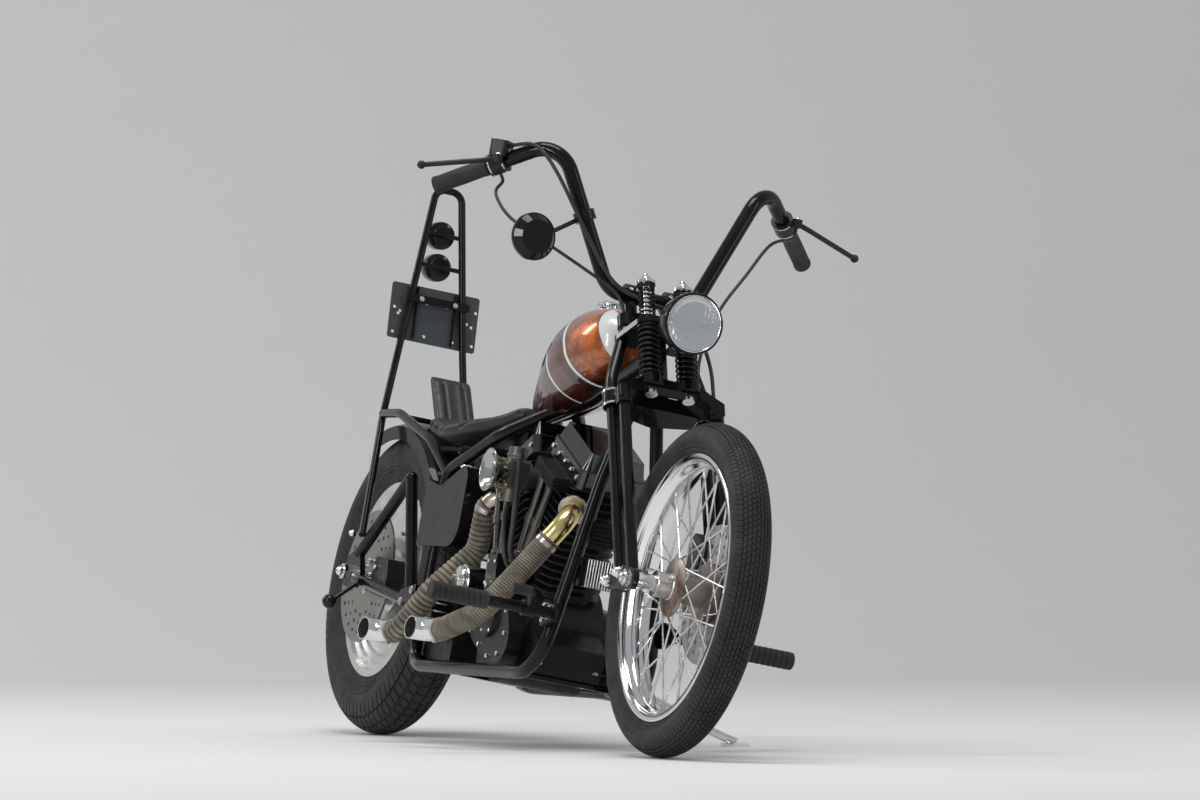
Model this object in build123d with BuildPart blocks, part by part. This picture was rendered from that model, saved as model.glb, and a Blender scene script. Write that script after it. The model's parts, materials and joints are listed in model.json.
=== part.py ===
from build123d import *
from math import cos, radians, sin, sqrt, tan
import os

# A chopper motorcycle with a leading-link springer fork, an air-cooled V-twin, ape hanger bars,
# a solo seat and a tall sissy bar, parked on its side stand.
# Millimetres. Every piece is drawn upright, with X forward, Y to the rider's left, Z up and the
# origin on the ground below the rear axle. The last section leans the whole machine onto its
# side stand and moves it so that the origin is the middle of its footprint.

# Driving dimensions of the whole machine
CORD_STEPS = 3
WHEELBASE = 1650.0
LEAN_DEG = 10.8
RAKE_DEG = 31.5
RUN = 0.08
SEAT_GAP = 0.3

# Front wheel, a 21 inch laced wheel
FRONT_R = 348.0
FRONT_CROWN_R = 44.0
FRONT_BEAD_R = 268.0
FRONT_FLANGE_R = 280.0
FRONT_RIM_HALF = 33.0
FRONT_HUB_R = 27.0
FRONT_HUB_HALF = 76.0
FRONT_FLANGE_Y = 30.0
FRONT_HUB_FLANGE_R = 62.0
SPOKE_COUNT = 40
SPOKE_R = 2.0
FRONT_DISC_R = 146.0
FRONT_DISC_Y = 52.0
DISC_T = 5.0
FRONT_AXLE_R = 11.0

# Rear wheel, a 16 inch solid disc wheel
REAR_R = 335.0
REAR_CROWN_R = 66.0
REAR_BEAD_R = 205.0
REAR_FLANGE_R = 216.0
REAR_RIM_HALF = 47.0
REAR_HUB_R = 38.0
REAR_HUB_HALF = 72.0
REAR_DISC_R = 146.0
REAR_DISC_Y = -84.0
REAR_AXLE_R = 11.0
PULLEY_R = 136.0
PULLEY_Y = 86.0
BELT_W = 24.0
BELT_T = 6.0

# Springer fork, in its own frame: x forward, y left, z up the steering axis
AXLE_X = 107.0
AXLE_Z = -49.0
RIGID_X = 12.0
RIGID_LEG_R = 13.0
SPRING_LEG_X = 70.0
SPRING_LEG_Z = -14.0
SPRING_LEG_R = 12.0
LEG_Y = 104.0
LOWER_TREE_Z = 450.0
TREE_H = 34.0
UPPER_TREE_Z = 655.0
UPPER_LEG_Y = 58.0
HEAD_TUBE_R = 29.0
STEM_R = 15.0
HEAD_LOW_Z = 482.0
HEAD_TOP_Z = 642.0
SPRING_Y = 42.0
SPRING_R = 27.0
UPPER_SPRING_R = 20.0
SPRING_TOP_Z = 712.0
SPRING_ROD_R = 7.0
ROCKER_T = 12.0
ROCKER_Y = 123.5

# Handlebar
BAR_R = 15.9
BAR_LOCAL_X = -3.5
BAR_LOCAL_Z = 731.0
GRIP_R = 19.0
GRIP_LEN = 122.0

# Frame
UPRIGHT_R = 14.0
RAIL_Y = 130.0
RAIL_Z = 141.0
UPRIGHT_X = 458.0
UPRIGHT_Y = 114.0
SEAT_RAIL_Z = 566.0
SPINE_R = 20.0
SWING_Y = 124.0
SWING_R = 13.0
PIVOT_X = 402.0
PIVOT_Z = 275.0

SEAT_NOSE_Z = 664.3

# Side stand
STAND_X = 940.0
STAND_Y = 180.0
STAND_LOW = 142.3
STAND_TOP = 165.7
STAND_PIN_R = 7.0
STAND_R = 9.0

# Engine, a 45 degree V-twin about its crankshaft
CRANK_X = 885.0
CRANK_Z = 240.0
V_HALF_DEG = 22.5
CASE_R = 118.0
CASE_HALF = 88.0
BARREL_LOW = 112.0
BARREL_TOP = 262.0
HEAD_TOP = 368.0
ROCKER_TOP = 446.0
FIN_HALF = 74.0
FIN_COUNT = 9
HEAD_FIN_COUNT = 6
FIN_T = 4.0

# Transmission, primary cover, oil tank and pipes
TRANS_X = 545.0
TRANS_Z = 272.0
GEARBOX_PULLEY_R = 56.0
PRIMARY_IN = 101.0
STARTER_X = 702.0
STARTER_Z = 322.0
STARTER_R = 40.0
TANK_HALF = 132.0
PIPE_R = 25.0
PIPE_WALL = 3.0


def fork_at(x, y, z):
    """A point given in the fork's own frame, as a place on the machine."""
    return FORK.from_local_coords((x, y, z))


def bar(start, end, radius, mode=Mode.ADD):
    """A round bar from one point to another."""
    start = Vector(*start)
    end = Vector(*end)
    with BuildSketch(Plane(origin=start, z_dir=end - start)) as section:
        Circle(radius)
    extrude(section.sketch, amount=(end - start).length, mode=mode)


def cone_bar(start, end, start_r, end_r, mode=Mode.ADD):
    """A round bar that tapers from one radius to another."""
    start = Vector(*start)
    end = Vector(*end)
    with BuildSketch(Plane(origin=start, z_dir=end - start)) as low:
        Circle(start_r)
    with BuildSketch(Plane(origin=end, z_dir=end - start)) as high:
        Circle(end_r)
    loft(sections=[low.sketch, high.sketch], mode=mode)


def cross_bar(x, z, radius, y0, y1, mode=Mode.ADD):
    """A round bar that lies across the machine."""
    bar((x, y0, z), (x, y1, z), radius, mode)


def bent_tube(points, radius, bends, bore=0.0, mode=Mode.ADD):
    """A tube along straight runs joined by arcs of the given bend radii."""
    with BuildLine() as path:
        FilletPolyline(*points, radius=bends)
    start = Plane(origin=path.line @ 0, z_dir=path.line % 0)
    with BuildSketch(start) as section:
        Circle(radius)
        if bore:
            Circle(bore, mode=Mode.SUBTRACT)
    sweep(sections=section.sketch, path=path.line, mode=mode)


def cord(places, radius, mode=Mode.ADD):
    """A cable or hose through the given places, as arcs that nearly meet.

    Between two places the line is a cubic blend of the four nearest places, taken at a few
    points. Each corner that turns by more than 2 degrees is kept and rounded as far as its
    shorter run lets it.
    """
    p = [Vector(*place) for place in places]
    p = [p[0] * 2 - p[1]] + p + [p[-1] * 2 - p[-2]]
    line = []
    for a, b, c, d in zip(p, p[1:], p[2:], p[3:]):
        for step in range(CORD_STEPS):
            t = step / CORD_STEPS
            cubic = (b * 3 - a - c * 3 + d) * t**3
            line.append((b * 2 + (c - a) * t + (a * 2 - b * 5 + c * 4 - d) * t**2 + cubic) * 0.5)
    line.append(p[-2])
    corners = line[:1]
    for here, after in zip(line[1:], line[2:]):
        if (here - corners[-1]).get_angle(after - here) > 2:
            corners.append(here)
    corners.append(line[-1])
    bends = []
    for a, b, c in zip(corners, corners[1:], corners[2:]):
        half_turn = radians((b - a).get_angle(c - b) / 2)
        bends.append(0.45 * min((b - a).length, (c - b).length) / tan(half_turn))
    bent_tube([tuple(corner) for corner in corners], radius, bends, mode=mode)


def side_plate(outline, y0, y1, corner=0.0, mode=Mode.ADD):
    """A flat plate with the given side view, between two distances from the centre plane."""
    with BuildSketch(Plane.XZ.offset(-y1)) as section:
        Polygon(*outline, align=None)
        if corner:
            fillet(section.vertices(), corner)
    extrude(section.sketch, amount=y1 - y0, mode=mode)


def wheel_plane(x, z):
    """The plane that holds a wheel's section: local x across the machine, local y outwards."""
    return Plane(origin=(x, 0, z), x_dir=(0, 1, 0), z_dir=(1, 0, 0))


def spun(outline, x, z, corner=0.0, mode=Mode.ADD):
    """A ring or disc turned about an axle: the outline is (across, radius)."""
    with BuildSketch(wheel_plane(x, z)) as section:
        Polygon(*outline, align=None)
        if corner:
            fillet(section.vertices(), corner)
    revolve(section.sketch, axis=Axis((x, 0, z), (0, 1, 0)), mode=mode)


def tyre(x, z, outer_r, crown_r, bead_r, flange_r, rim_half):
    """A tyre with a round crown, straight sidewalls and beads inside the rim's flanges."""
    centre_r = outer_r - crown_r
    bead_half = rim_half - 4.0
    with BuildSketch(wheel_plane(x, z)) as section:
        with BuildLine():
            ThreePointArc((-crown_r, centre_r), (0, outer_r), (crown_r, centre_r))
            Polyline(
                (crown_r, centre_r),
                (rim_half + 1.0, flange_r + 5.0),
                (bead_half, flange_r + 1.0),
                (bead_half, bead_r + SEAT_GAP),
                (-bead_half, bead_r + SEAT_GAP),
                (-bead_half, flange_r + 1.0),
                (-rim_half - 1.0, flange_r + 5.0),
                (-crown_r, centre_r),
            )
        make_face()
    revolve(section.sketch, axis=Axis((x, 0, z), (0, 1, 0)))


LOW_END = (Align.CENTER, Align.CENTER, Align.MIN)

# The fork's frame stands on the steering axis, level with the rigid legs' lower pivots
rake = radians(RAKE_DEG)
FORK_X = WHEELBASE - AXLE_X * cos(rake) + AXLE_Z * sin(rake)
FORK_Z = FRONT_R - AXLE_X * sin(rake) - AXLE_Z * cos(rake)
FORK = Plane(
    origin=(FORK_X, 0, FORK_Z),
    x_dir=(cos(rake), 0, sin(rake)),
    z_dir=(-sin(rake), 0, cos(rake)),
)

# Front tyre
with BuildPart() as front_tyre:
    tyre(WHEELBASE, FRONT_R, FRONT_R, FRONT_CROWN_R, FRONT_BEAD_R, FRONT_FLANGE_R, FRONT_RIM_HALF)
front_tyre.part.label = "front_tyre"

# Front rim: flanges, bead seats and a drop centre
RIM_T = 3.0
FRONT_WELL_R = 252.0
with BuildPart() as front_rim:
    spun(
        [
            (-FRONT_RIM_HALF, FRONT_FLANGE_R),
            (-FRONT_RIM_HALF + RIM_T, FRONT_FLANGE_R),
            (-FRONT_RIM_HALF + RIM_T, FRONT_BEAD_R),
            (-16, FRONT_BEAD_R - 3),
            (-10, FRONT_WELL_R + RIM_T),
            (10, FRONT_WELL_R + RIM_T),
            (16, FRONT_BEAD_R - 3),
            (FRONT_RIM_HALF - RIM_T, FRONT_BEAD_R),
            (FRONT_RIM_HALF - RIM_T, FRONT_FLANGE_R),
            (FRONT_RIM_HALF, FRONT_FLANGE_R),
            (FRONT_RIM_HALF, FRONT_BEAD_R - RIM_T),
            (18, FRONT_BEAD_R - 3 - RIM_T),
            (12, FRONT_WELL_R),
            (-12, FRONT_WELL_R),
            (-18, FRONT_BEAD_R - 3 - RIM_T),
            (-FRONT_RIM_HALF, FRONT_BEAD_R - RIM_T),
        ],
        WHEELBASE,
        FRONT_R,
    )
front_rim.part.label = "front_rim"

# Front hub with its two flanges and the crossed spokes that it carries
with BuildPart() as front_hub:
    spun(
        [
            (-FRONT_HUB_HALF, FRONT_AXLE_R + RUN),
            (-FRONT_HUB_HALF, FRONT_HUB_R),
            (-FRONT_FLANGE_Y - 12, FRONT_HUB_R),
            (-FRONT_FLANGE_Y - 8, FRONT_HUB_FLANGE_R - 8),
            (-FRONT_FLANGE_Y - 4, FRONT_HUB_FLANGE_R),
            (-FRONT_FLANGE_Y, FRONT_HUB_FLANGE_R),
            (-FRONT_FLANGE_Y, FRONT_HUB_R + 4),
            (FRONT_FLANGE_Y, FRONT_HUB_R + 4),
            (FRONT_FLANGE_Y, FRONT_HUB_FLANGE_R),
            (FRONT_DISC_Y - DISC_T / 2, FRONT_HUB_FLANGE_R),
            (FRONT_DISC_Y - DISC_T / 2, FRONT_HUB_R),
            (FRONT_HUB_HALF, FRONT_HUB_R),
            (FRONT_HUB_HALF, FRONT_AXLE_R + RUN),
        ],
        WHEELBASE,
        FRONT_R,
    )
    spoke_root = FRONT_HUB_FLANGE_R - 6
    spoke_tip = FRONT_WELL_R - SEAT_GAP
    spokes = []
    for number in range(SPOKE_COUNT):
        side = 1 if number % 2 else -1
        lead = 1 if number % 4 < 2 else -1
        tip_angle = radians(360 / SPOKE_COUNT * number)
        root_angle = tip_angle + lead * radians(46)
        root = Vector(
            WHEELBASE + spoke_root * cos(root_angle),
            side * (FRONT_FLANGE_Y + 2),
            FRONT_R + spoke_root * sin(root_angle),
        )
        tip = Vector(
            WHEELBASE + spoke_tip * cos(tip_angle),
            side * 5,
            FRONT_R + spoke_tip * sin(tip_angle),
        )
        along = Plane(origin=root, z_dir=tip - root)
        spokes.append(along * Cylinder(SPOKE_R, (tip - root).length, align=LOW_END, mode=Mode.PRIVATE))
    add(spokes)
front_hub.part.label = "front_hub"

# Front brake disc, bolted to the hub's left flange
with BuildPart() as front_brake_disc:
    spun(
        [
            (FRONT_DISC_Y - DISC_T / 2, FRONT_HUB_R + 1),
            (FRONT_DISC_Y - DISC_T / 2, FRONT_DISC_R),
            (FRONT_DISC_Y + DISC_T / 2, FRONT_DISC_R),
            (FRONT_DISC_Y + DISC_T / 2, FRONT_HUB_R + 1),
        ],
        WHEELBASE,
        FRONT_R,
    )
front_brake_disc.part.label = "front_brake_disc"

# Rear tyre
with BuildPart() as rear_tyre:
    tyre(0, REAR_R, REAR_R, REAR_CROWN_R, REAR_BEAD_R, REAR_FLANGE_R, REAR_RIM_HALF)
rear_tyre.part.label = "rear_tyre"

# Rear wheel: a rim with a dished disc in two steps on each side, closed between them
with BuildPart() as rear_wheel:
    half_profile = [
        (REAR_RIM_HALF - 4, REAR_BEAD_R),
        (REAR_RIM_HALF - 4, REAR_FLANGE_R),
        (REAR_RIM_HALF, REAR_FLANGE_R),
        (REAR_RIM_HALF, REAR_BEAD_R - 4),
        (36, REAR_BEAD_R - 9),
        (33, 186),
        (26, 182),
        (25, 166),
        (19, 162),
        (18, 120),
        (30, 96),
        (30, 70),
        (REAR_HUB_HALF, REAR_HUB_R),
        (REAR_HUB_HALF, REAR_AXLE_R + RUN),
    ]
    mirrored = [(-y, r) for y, r in reversed(half_profile)]
    spun(half_profile + mirrored, 0, REAR_R)
rear_wheel.part.label = "rear_wheel"

# Rear brake disc on the right and toothed pulley on the left, each against the hub's end
with BuildPart() as rear_brake_disc:
    spun(
        [
            (REAR_DISC_Y - DISC_T / 2, REAR_AXLE_R + RUN),
            (REAR_DISC_Y - DISC_T / 2, REAR_DISC_R),
            (REAR_DISC_Y + DISC_T / 2, REAR_DISC_R),
            (REAR_DISC_Y + DISC_T / 2, 48),
            (-REAR_HUB_HALF, 44),
            (-REAR_HUB_HALF, REAR_AXLE_R + RUN),
        ],
        0,
        REAR_R,
    )
rear_brake_disc.part.label = "rear_brake_disc"

pulley_face = PULLEY_R - SEAT_GAP - 0.3
with BuildPart() as rear_pulley:
    spun(
        [
            (REAR_HUB_HALF, REAR_AXLE_R + RUN),
            (REAR_HUB_HALF, 52),
            (PULLEY_Y - 6, 60),
            (PULLEY_Y - 6, PULLEY_R - 14),
            (PULLEY_Y - BELT_W / 2 - 2, PULLEY_R - 14),
            (PULLEY_Y - BELT_W / 2 - 2, pulley_face),
            (PULLEY_Y + BELT_W / 2 + 2, pulley_face),
            (PULLEY_Y + BELT_W / 2 + 2, PULLEY_R - 14),
            (PULLEY_Y + 6, PULLEY_R - 14),
            (PULLEY_Y + 6, 46),
            (PULLEY_Y + 6, REAR_AXLE_R + RUN),
        ],
        0,
        REAR_R,
    )
rear_pulley.part.label = "rear_pulley"

# Drive belt round the rear pulley and the gearbox pulley, and that pulley
with BuildPart() as drive_belt:
    with BuildSketch(Plane.XZ.offset(-(PULLEY_Y + BELT_W / 2))) as belt_outline:
        with Locations((0, REAR_R)):
            Circle(PULLEY_R + BELT_T)
        with Locations((TRANS_X, TRANS_Z)):
            Circle(GEARBOX_PULLEY_R + BELT_T)
        make_hull()
    extrude(belt_outline.sketch, amount=BELT_W)
    with BuildSketch(Plane.XZ.offset(-(PULLEY_Y + BELT_W / 2))) as belt_inside:
        with Locations((0, REAR_R)):
            Circle(PULLEY_R)
        with Locations((TRANS_X, TRANS_Z)):
            Circle(GEARBOX_PULLEY_R)
        make_hull()
    extrude(belt_inside.sketch, amount=BELT_W, mode=Mode.SUBTRACT)
drive_belt.part.label = "drive_belt"

# Rear axle with its nuts outside the swingarm's plates
AXLE_PLATE_T = 12.0
plate_out = SWING_Y + AXLE_PLATE_T / 2
with BuildPart() as rear_axle:
    cross_bar(0, REAR_R, REAR_AXLE_R, -plate_out - 22, plate_out + 22)
    for side in (-1, 1):
        with BuildSketch(Plane.XZ.offset(-side * (plate_out + SEAT_GAP))) as nut:
            with Locations((0, REAR_R)):
                RegularPolygon(19, 6)
        extrude(nut.sketch, amount=-side * 15)
rear_axle.part.label = "rear_axle"

# Swingarm: a triangle of tubes on each side, joined by the pivot tube before the tyre
APEX = (268.0, 548.0)
SISSY_SEAT = (83.0, 416.0)
with BuildPart() as swingarm:
    for side in (-1, 1):
        upper_end = (30, side * SWING_Y, REAR_R + 43)
        lower_end = (36, side * SWING_Y, REAR_R - 11)
        apex = (APEX[0], side * SWING_Y, APEX[1])
        pivot = (PIVOT_X, side * SWING_Y, PIVOT_Z)
        bar(upper_end, apex, SWING_R)
        bar(lower_end, pivot, SWING_R)
        bar(apex, pivot, SWING_R)
        with Locations(Location(apex)):
            Sphere(SWING_R + 1)
        plate_face = side * SWING_Y + AXLE_PLATE_T / 2
        side_plate(
            [(-26, REAR_R + 34), (40, REAR_R + 60), (74, REAR_R - 4), (44, REAR_R - 32), (-26, REAR_R - 30)],
            plate_face - AXLE_PLATE_T,
            plate_face,
            12,
        )
    cross_bar(PIVOT_X, PIVOT_Z, 19, -SWING_Y - SWING_R, SWING_Y + SWING_R)
    cross_bar(0, REAR_R, REAR_AXLE_R + RUN, -SWING_Y - 20, SWING_Y + 20, mode=Mode.SUBTRACT)
swingarm.part.label = "swingarm"

# Main frame spine: steering head and top tube
SPINE_FRONT = fork_at(-20, 0, 590)
SPINE_REAR = (700.0, 0.0, 712.0)
with BuildPart() as frame_spine:
    bar(fork_at(0, 0, HEAD_LOW_Z), fork_at(0, 0, HEAD_TOP_Z), HEAD_TUBE_R)
    bent_tube([tuple(SPINE_FRONT), (930.0, 0.0, 748.0), SPINE_REAR], SPINE_R, 260)
    bar(fork_at(0, 0, HEAD_LOW_Z - 1), fork_at(0, 0, HEAD_TOP_Z + 1), STEM_R + RUN, mode=Mode.SUBTRACT)
frame_spine.part.label = "frame_spine"

# Cradle: on each side a down tube, a bottom rail, an upright, the seat rail and the fender rail.
# Cross plates under the engine and the gearbox, and a cross tube over the fender, join the sides.
PIVOT_PLATE_T = 8.0
MOUNT_TOP = RAIL_Z + 4 - SEAT_GAP
FENDER_R = 352.0
FENDER_CROWN = 4.0
FENDER_TUBE_R = 6.0
fender_tube_x = 86.0
fender_tube_z = REAR_R + sqrt((FENDER_R + FENDER_CROWN) ** 2 - fender_tube_x**2) + FENDER_TUBE_R + SEAT_GAP
SISSY_R = 8.0
SISSY_BEND = (-56.0, 97.0, 692.0)
SISSY_TOP = (-160.0, 30.0, 1212.0)
SISSY_MID = (-92.0, 75.0, 854.0)
SISSY_BENDS = (90, 120, 26, 26, 120, 90)
sissy_foot_y = SWING_Y + SWING_R + SISSY_R + SEAT_GAP
sissy_right = [
    (SISSY_SEAT[0], -sissy_foot_y, SISSY_SEAT[1]),
    (SISSY_BEND[0], -SISSY_BEND[1], SISSY_BEND[2]),
    (SISSY_MID[0], -SISSY_MID[1], SISSY_MID[2]),
    (SISSY_TOP[0], -SISSY_TOP[1], SISSY_TOP[2]),
]
SISSY_ROUTE = sissy_right + [(x, -y, z) for x, y, z in reversed(sissy_right)]


def cradle_route(side):
    """The corners of one side's tube, from the neck down, back and up to the spine."""
    return [
        tuple(fork_at(-30, side * 20, HEAD_LOW_Z + 38)),
        (1222, side * 62, 560),
        (1226, side * RAIL_Y, RAIL_Z),
        (540, side * RAIL_Y, RAIL_Z),
        (UPRIGHT_X, side * UPRIGHT_Y, RAIL_Z + 12),
        (UPRIGHT_X, side * UPRIGHT_Y, SEAT_RAIL_Z),
        (690, side * 96, 652),
        (810, side * 14, 724),
    ]


CRADLE_BENDS = [200, 100, 120, 50, 40, 90]
with BuildPart() as frame_cradle:
    for side in (-1, 1):
        bent_tube(cradle_route(side), UPRIGHT_R, CRADLE_BENDS)
        bent_tube(
            [
                (UPRIGHT_X, side * UPRIGHT_Y, SEAT_RAIL_Z - 8),
                (326, side * 119, 634),
                (fender_tube_x, side * 110, fender_tube_z + 6),
                (SISSY_BEND[0] + 4, side * (SISSY_BEND[1] + 1), SISSY_BEND[2] + 2),
            ],
            10,
            [150, 150],
        )
        inner = SWING_Y + SWING_R + SEAT_GAP
        low_y, high_y = sorted((side * inner, side * (inner + PIVOT_PLATE_T)))
        side_plate(
            [
                (PIVOT_X - 26, PIVOT_Z + 24),
                (UPRIGHT_X + 12, PIVOT_Z + 40),
                (UPRIGHT_X + 12, PIVOT_Z - 40),
                (PIVOT_X - 26, PIVOT_Z - 26),
            ],
            low_y,
            high_y,
            6,
        )
        cross_bar(UPRIGHT_X, PIVOT_Z, 12, side * UPRIGHT_Y, side * (inner + 1))
    for x in (CRANK_X - 130, CRANK_X + 150, TRANS_X - 10):
        with BuildSketch(Plane.XY.offset(MOUNT_TOP - 8)) as plate:
            with Locations((x, 0)):
                RectangleRounded(46, 2 * RAIL_Y, 8)
        extrude(plate.sketch, amount=8)
    cross_bar(fender_tube_x, fender_tube_z, FENDER_TUBE_R, -110, 110)
    cross_bar(600, 617, 9, -102, 102)
    side_plate([(590, 610), (610, 610), (610, SEAT_NOSE_Z + 8.4), (590, SEAT_NOSE_Z)], -18, 18)
    side_plate([(392, 558), (470, 558), (470, 564), (392, 564)], -UPRIGHT_Y, UPRIGHT_Y)
    side_plate(
        [(STAND_X - 20, 127), (STAND_X + 20, 127), (STAND_X + 20, 174), (STAND_X - 20, 174)],
        RAIL_Y,
        STAND_Y - 24,
    )
    for low in (134, STAND_TOP + SEAT_GAP):
        with BuildSketch(Plane.XY.offset(low)) as lug:
            with Locations((STAND_X, STAND_Y)):
                Circle(17)
            with Locations((STAND_X, STAND_Y - 32)):
                Rectangle(34, 24)
            make_hull()
        extrude(lug.sketch, amount=8)
    bar((STAND_X, STAND_Y, 138), (STAND_X, STAND_Y, STAND_TOP + 4), STAND_PIN_R)
    add(frame_spine.part, mode=Mode.SUBTRACT)
    bent_tube(SISSY_ROUTE, SISSY_R + SEAT_GAP, SISSY_BENDS, mode=Mode.SUBTRACT)
frame_cradle.part.label = "frame_cradle"

# Rear fender: a rounded channel round the top of the tyre, short at the back
FENDER_T = 2.5
with BuildPart() as rear_fender:
    with BuildSketch(wheel_plane(0, REAR_R)) as fender_section:
        with BuildLine():
            outer = 76
            Polyline((-outer, FENDER_R - 46), (-outer, FENDER_R - 16))
            ThreePointArc((-outer, FENDER_R - 16), (0, FENDER_R + FENDER_CROWN), (outer, FENDER_R - 16))
            Polyline((outer, FENDER_R - 16), (outer, FENDER_R - 46))
            Polyline((outer, FENDER_R - 46), (outer - FENDER_T, FENDER_R - 46))
            Polyline((outer - FENDER_T, FENDER_R - 46), (outer - FENDER_T, FENDER_R - 16 - FENDER_T))
            ThreePointArc(
                (outer - FENDER_T, FENDER_R - 16 - FENDER_T),
                (0, FENDER_R + FENDER_CROWN - FENDER_T),
                (-outer + FENDER_T, FENDER_R - 16 - FENDER_T),
            )
            Polyline((-outer + FENDER_T, FENDER_R - 16 - FENDER_T), (-outer + FENDER_T, FENDER_R - 46))
            Polyline((-outer + FENDER_T, FENDER_R - 46), (-outer, FENDER_R - 46))
        make_face()
    wheel_axis = Axis((0, 0, REAR_R), (0, 1, 0))
    swung = fender_section.sketch.rotate(wheel_axis, -24)
    revolve(swung, axis=wheel_axis, revolution_arc=82)
rear_fender.part.label = "rear_fender"

# Crankcase: two round halves, the cylinders' decks, the sump and a front motor mount
v_half = radians(V_HALF_DEG)


def cylinder_plane(lean, height):
    """The plane square to a cylinder's axis at a height above the crankshaft."""
    axis = Vector(sin(lean), 0, cos(lean))
    foot = Vector(CRANK_X, 0, CRANK_Z) + axis * height
    return Plane(origin=foot, x_dir=(cos(lean), 0, -sin(lean)), z_dir=axis)


with BuildPart() as crankcase:
    cross_bar(CRANK_X, CRANK_Z, CASE_R, -CASE_HALF, CASE_HALF)
    for lean in (-v_half, v_half):
        with BuildSketch(cylinder_plane(lean, 40)) as deck:
            RectangleRounded(118, 118, 20)
        extrude(deck.sketch, amount=BARREL_LOW - 40)
    side_plate(
        [
            (CRANK_X - 150, RAIL_Z + 4),
            (CRANK_X + 170, RAIL_Z + 4),
            (CRANK_X + 190, CRANK_Z - 30),
            (CRANK_X + 110, CRANK_Z + 20),
            (CRANK_X - 120, CRANK_Z + 40),
            (CRANK_X - 168, CRANK_Z - 20),
        ],
        -78,
        78,
        10,
    )
    cross_bar(CRANK_X, CRANK_Z, 60, CASE_HALF - 1, PRIMARY_IN - SEAT_GAP)
    for lean in (-v_half, v_half):
        with BuildSketch(cylinder_plane(lean, BARREL_LOW)) as barrel_room:
            Rectangle(2 * FIN_HALF + 1, 2 * FIN_HALF + 1)
        extrude(barrel_room.sketch, amount=60, mode=Mode.SUBTRACT)
crankcase.part.label = "crankcase"

# Cam cover on the right: a pear-shaped case with a round timing cover and two tappet blocks
with BuildPart() as cam_cover:
    with BuildSketch(Plane.XZ.offset(CASE_HALF)) as cam_outline:
        with Locations((CRANK_X + 4, CRANK_Z + 16)):
            Circle(84)
        with Locations((CRANK_X + 70, CRANK_Z - 30)):
            Circle(52)
        with Locations((CRANK_X - 66, CRANK_Z + 6)):
            Circle(46)
        make_hull()
    extrude(cam_outline.sketch, amount=34)
    with BuildSketch(Plane.XZ.offset(CASE_HALF + 34)) as timing:
        with Locations((CRANK_X + 4, CRANK_Z + 16)):
            Circle(46)
    extrude(timing.sketch, amount=8, taper=20)
    for shift in (-50, 50):
        side_plate(
            [
                (CRANK_X + shift - 30, CRANK_Z + 70),
                (CRANK_X + shift + 30, CRANK_Z + 70),
                (CRANK_X + shift * 1.3 + 28, CRANK_Z + 150),
                (CRANK_X + shift * 1.3 - 28, CRANK_Z + 150),
            ],
            -CASE_HALF - 30,
            -CASE_HALF - SEAT_GAP,
        )
cam_cover.part.label = "cam_cover"

# Cylinders: each a round barrel with cooling fins and a finned head above it, with the seat of
# its pushrod tubes on the right. The fins are cut off flat in the middle of the V. The exhaust
# port faces forward on the front head and sideways on the rear one.
barrel_pitch = (BARREL_TOP - BARREL_LOW) / FIN_COUNT
head_pitch = (HEAD_TOP - BARREL_TOP) / HEAD_FIN_COUNT
V_GAP = 3.0
PORT_H = 322.0
PORT_R = 27.0
BOSS_LOW = 338.0
front_port = cylinder_plane(v_half, PORT_H)
rear_port = cylinder_plane(-v_half, PORT_H)
FRONT_PIPE_START = front_port.from_local_coords((96, -62, 0))
REAR_PIPE_START = rear_port.from_local_coords((-36, -50, 0))
rear_pipe_dir = (REAR_PIPE_START - rear_port.from_local_coords((-12, -20, 0))).normalized()
barrel_planes = [cylinder_plane(v_half, BARREL_LOW + 6 + n * barrel_pitch) for n in range(FIN_COUNT)]
head_planes = [cylinder_plane(v_half, BARREL_TOP + 5 + n * head_pitch) for n in range(HEAD_FIN_COUNT)]
with BuildPart() as front_cylinder:
    with BuildSketch(cylinder_plane(v_half, BARREL_LOW)) as liner:
        Circle(56)
    extrude(liner.sketch, amount=HEAD_TOP - BARREL_LOW)
    with BuildSketch(*barrel_planes) as barrel_fins:
        RectangleRounded(2 * FIN_HALF, 2 * FIN_HALF, 30)
    extrude(amount=FIN_T)
    with BuildSketch(*head_planes) as head_fins:
        RectangleRounded(2 * FIN_HALF + 14, 2 * FIN_HALF + 6, 22)
    extrude(amount=FIN_T)
    with BuildSketch(cylinder_plane(v_half, BOSS_LOW)) as tube_seat:
        with Locations((0, -91)):
            Rectangle(120, 42)
    extrude(tube_seat.sketch, amount=HEAD_TOP - BOSS_LOW)
    split(bisect_by=Plane.YZ.offset(CRANK_X + V_GAP / 2), keep=Keep.TOP)
with BuildPart() as cylinders:
    add(front_cylinder.part)
    mirror(front_cylinder.part, about=Plane.YZ.offset(CRANK_X))
    bar(front_port.from_local_coords((38, -34, 0)), FRONT_PIPE_START, PORT_R)
    bar(REAR_PIPE_START, REAR_PIPE_START + rear_pipe_dir * 70, PIPE_R + SEAT_GAP, mode=Mode.SUBTRACT)
cylinders.part.label = "cylinders"

# Rocker boxes in two steps on the heads, the top lid narrower than the base
with BuildPart() as rocker_boxes:
    for lean in (-v_half, v_half):
        with BuildSketch(cylinder_plane(lean, HEAD_TOP)) as base:
            RectangleRounded(214, 150, 16)
        extrude(base.sketch, amount=40)
        with BuildSketch(cylinder_plane(lean, HEAD_TOP + 40)) as lid:
            RectangleRounded(204, 140, 14)
        extrude(lid.sketch, amount=ROCKER_TOP - HEAD_TOP - 40, taper=16)
rocker_boxes.part.label = "rocker_boxes"

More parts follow.
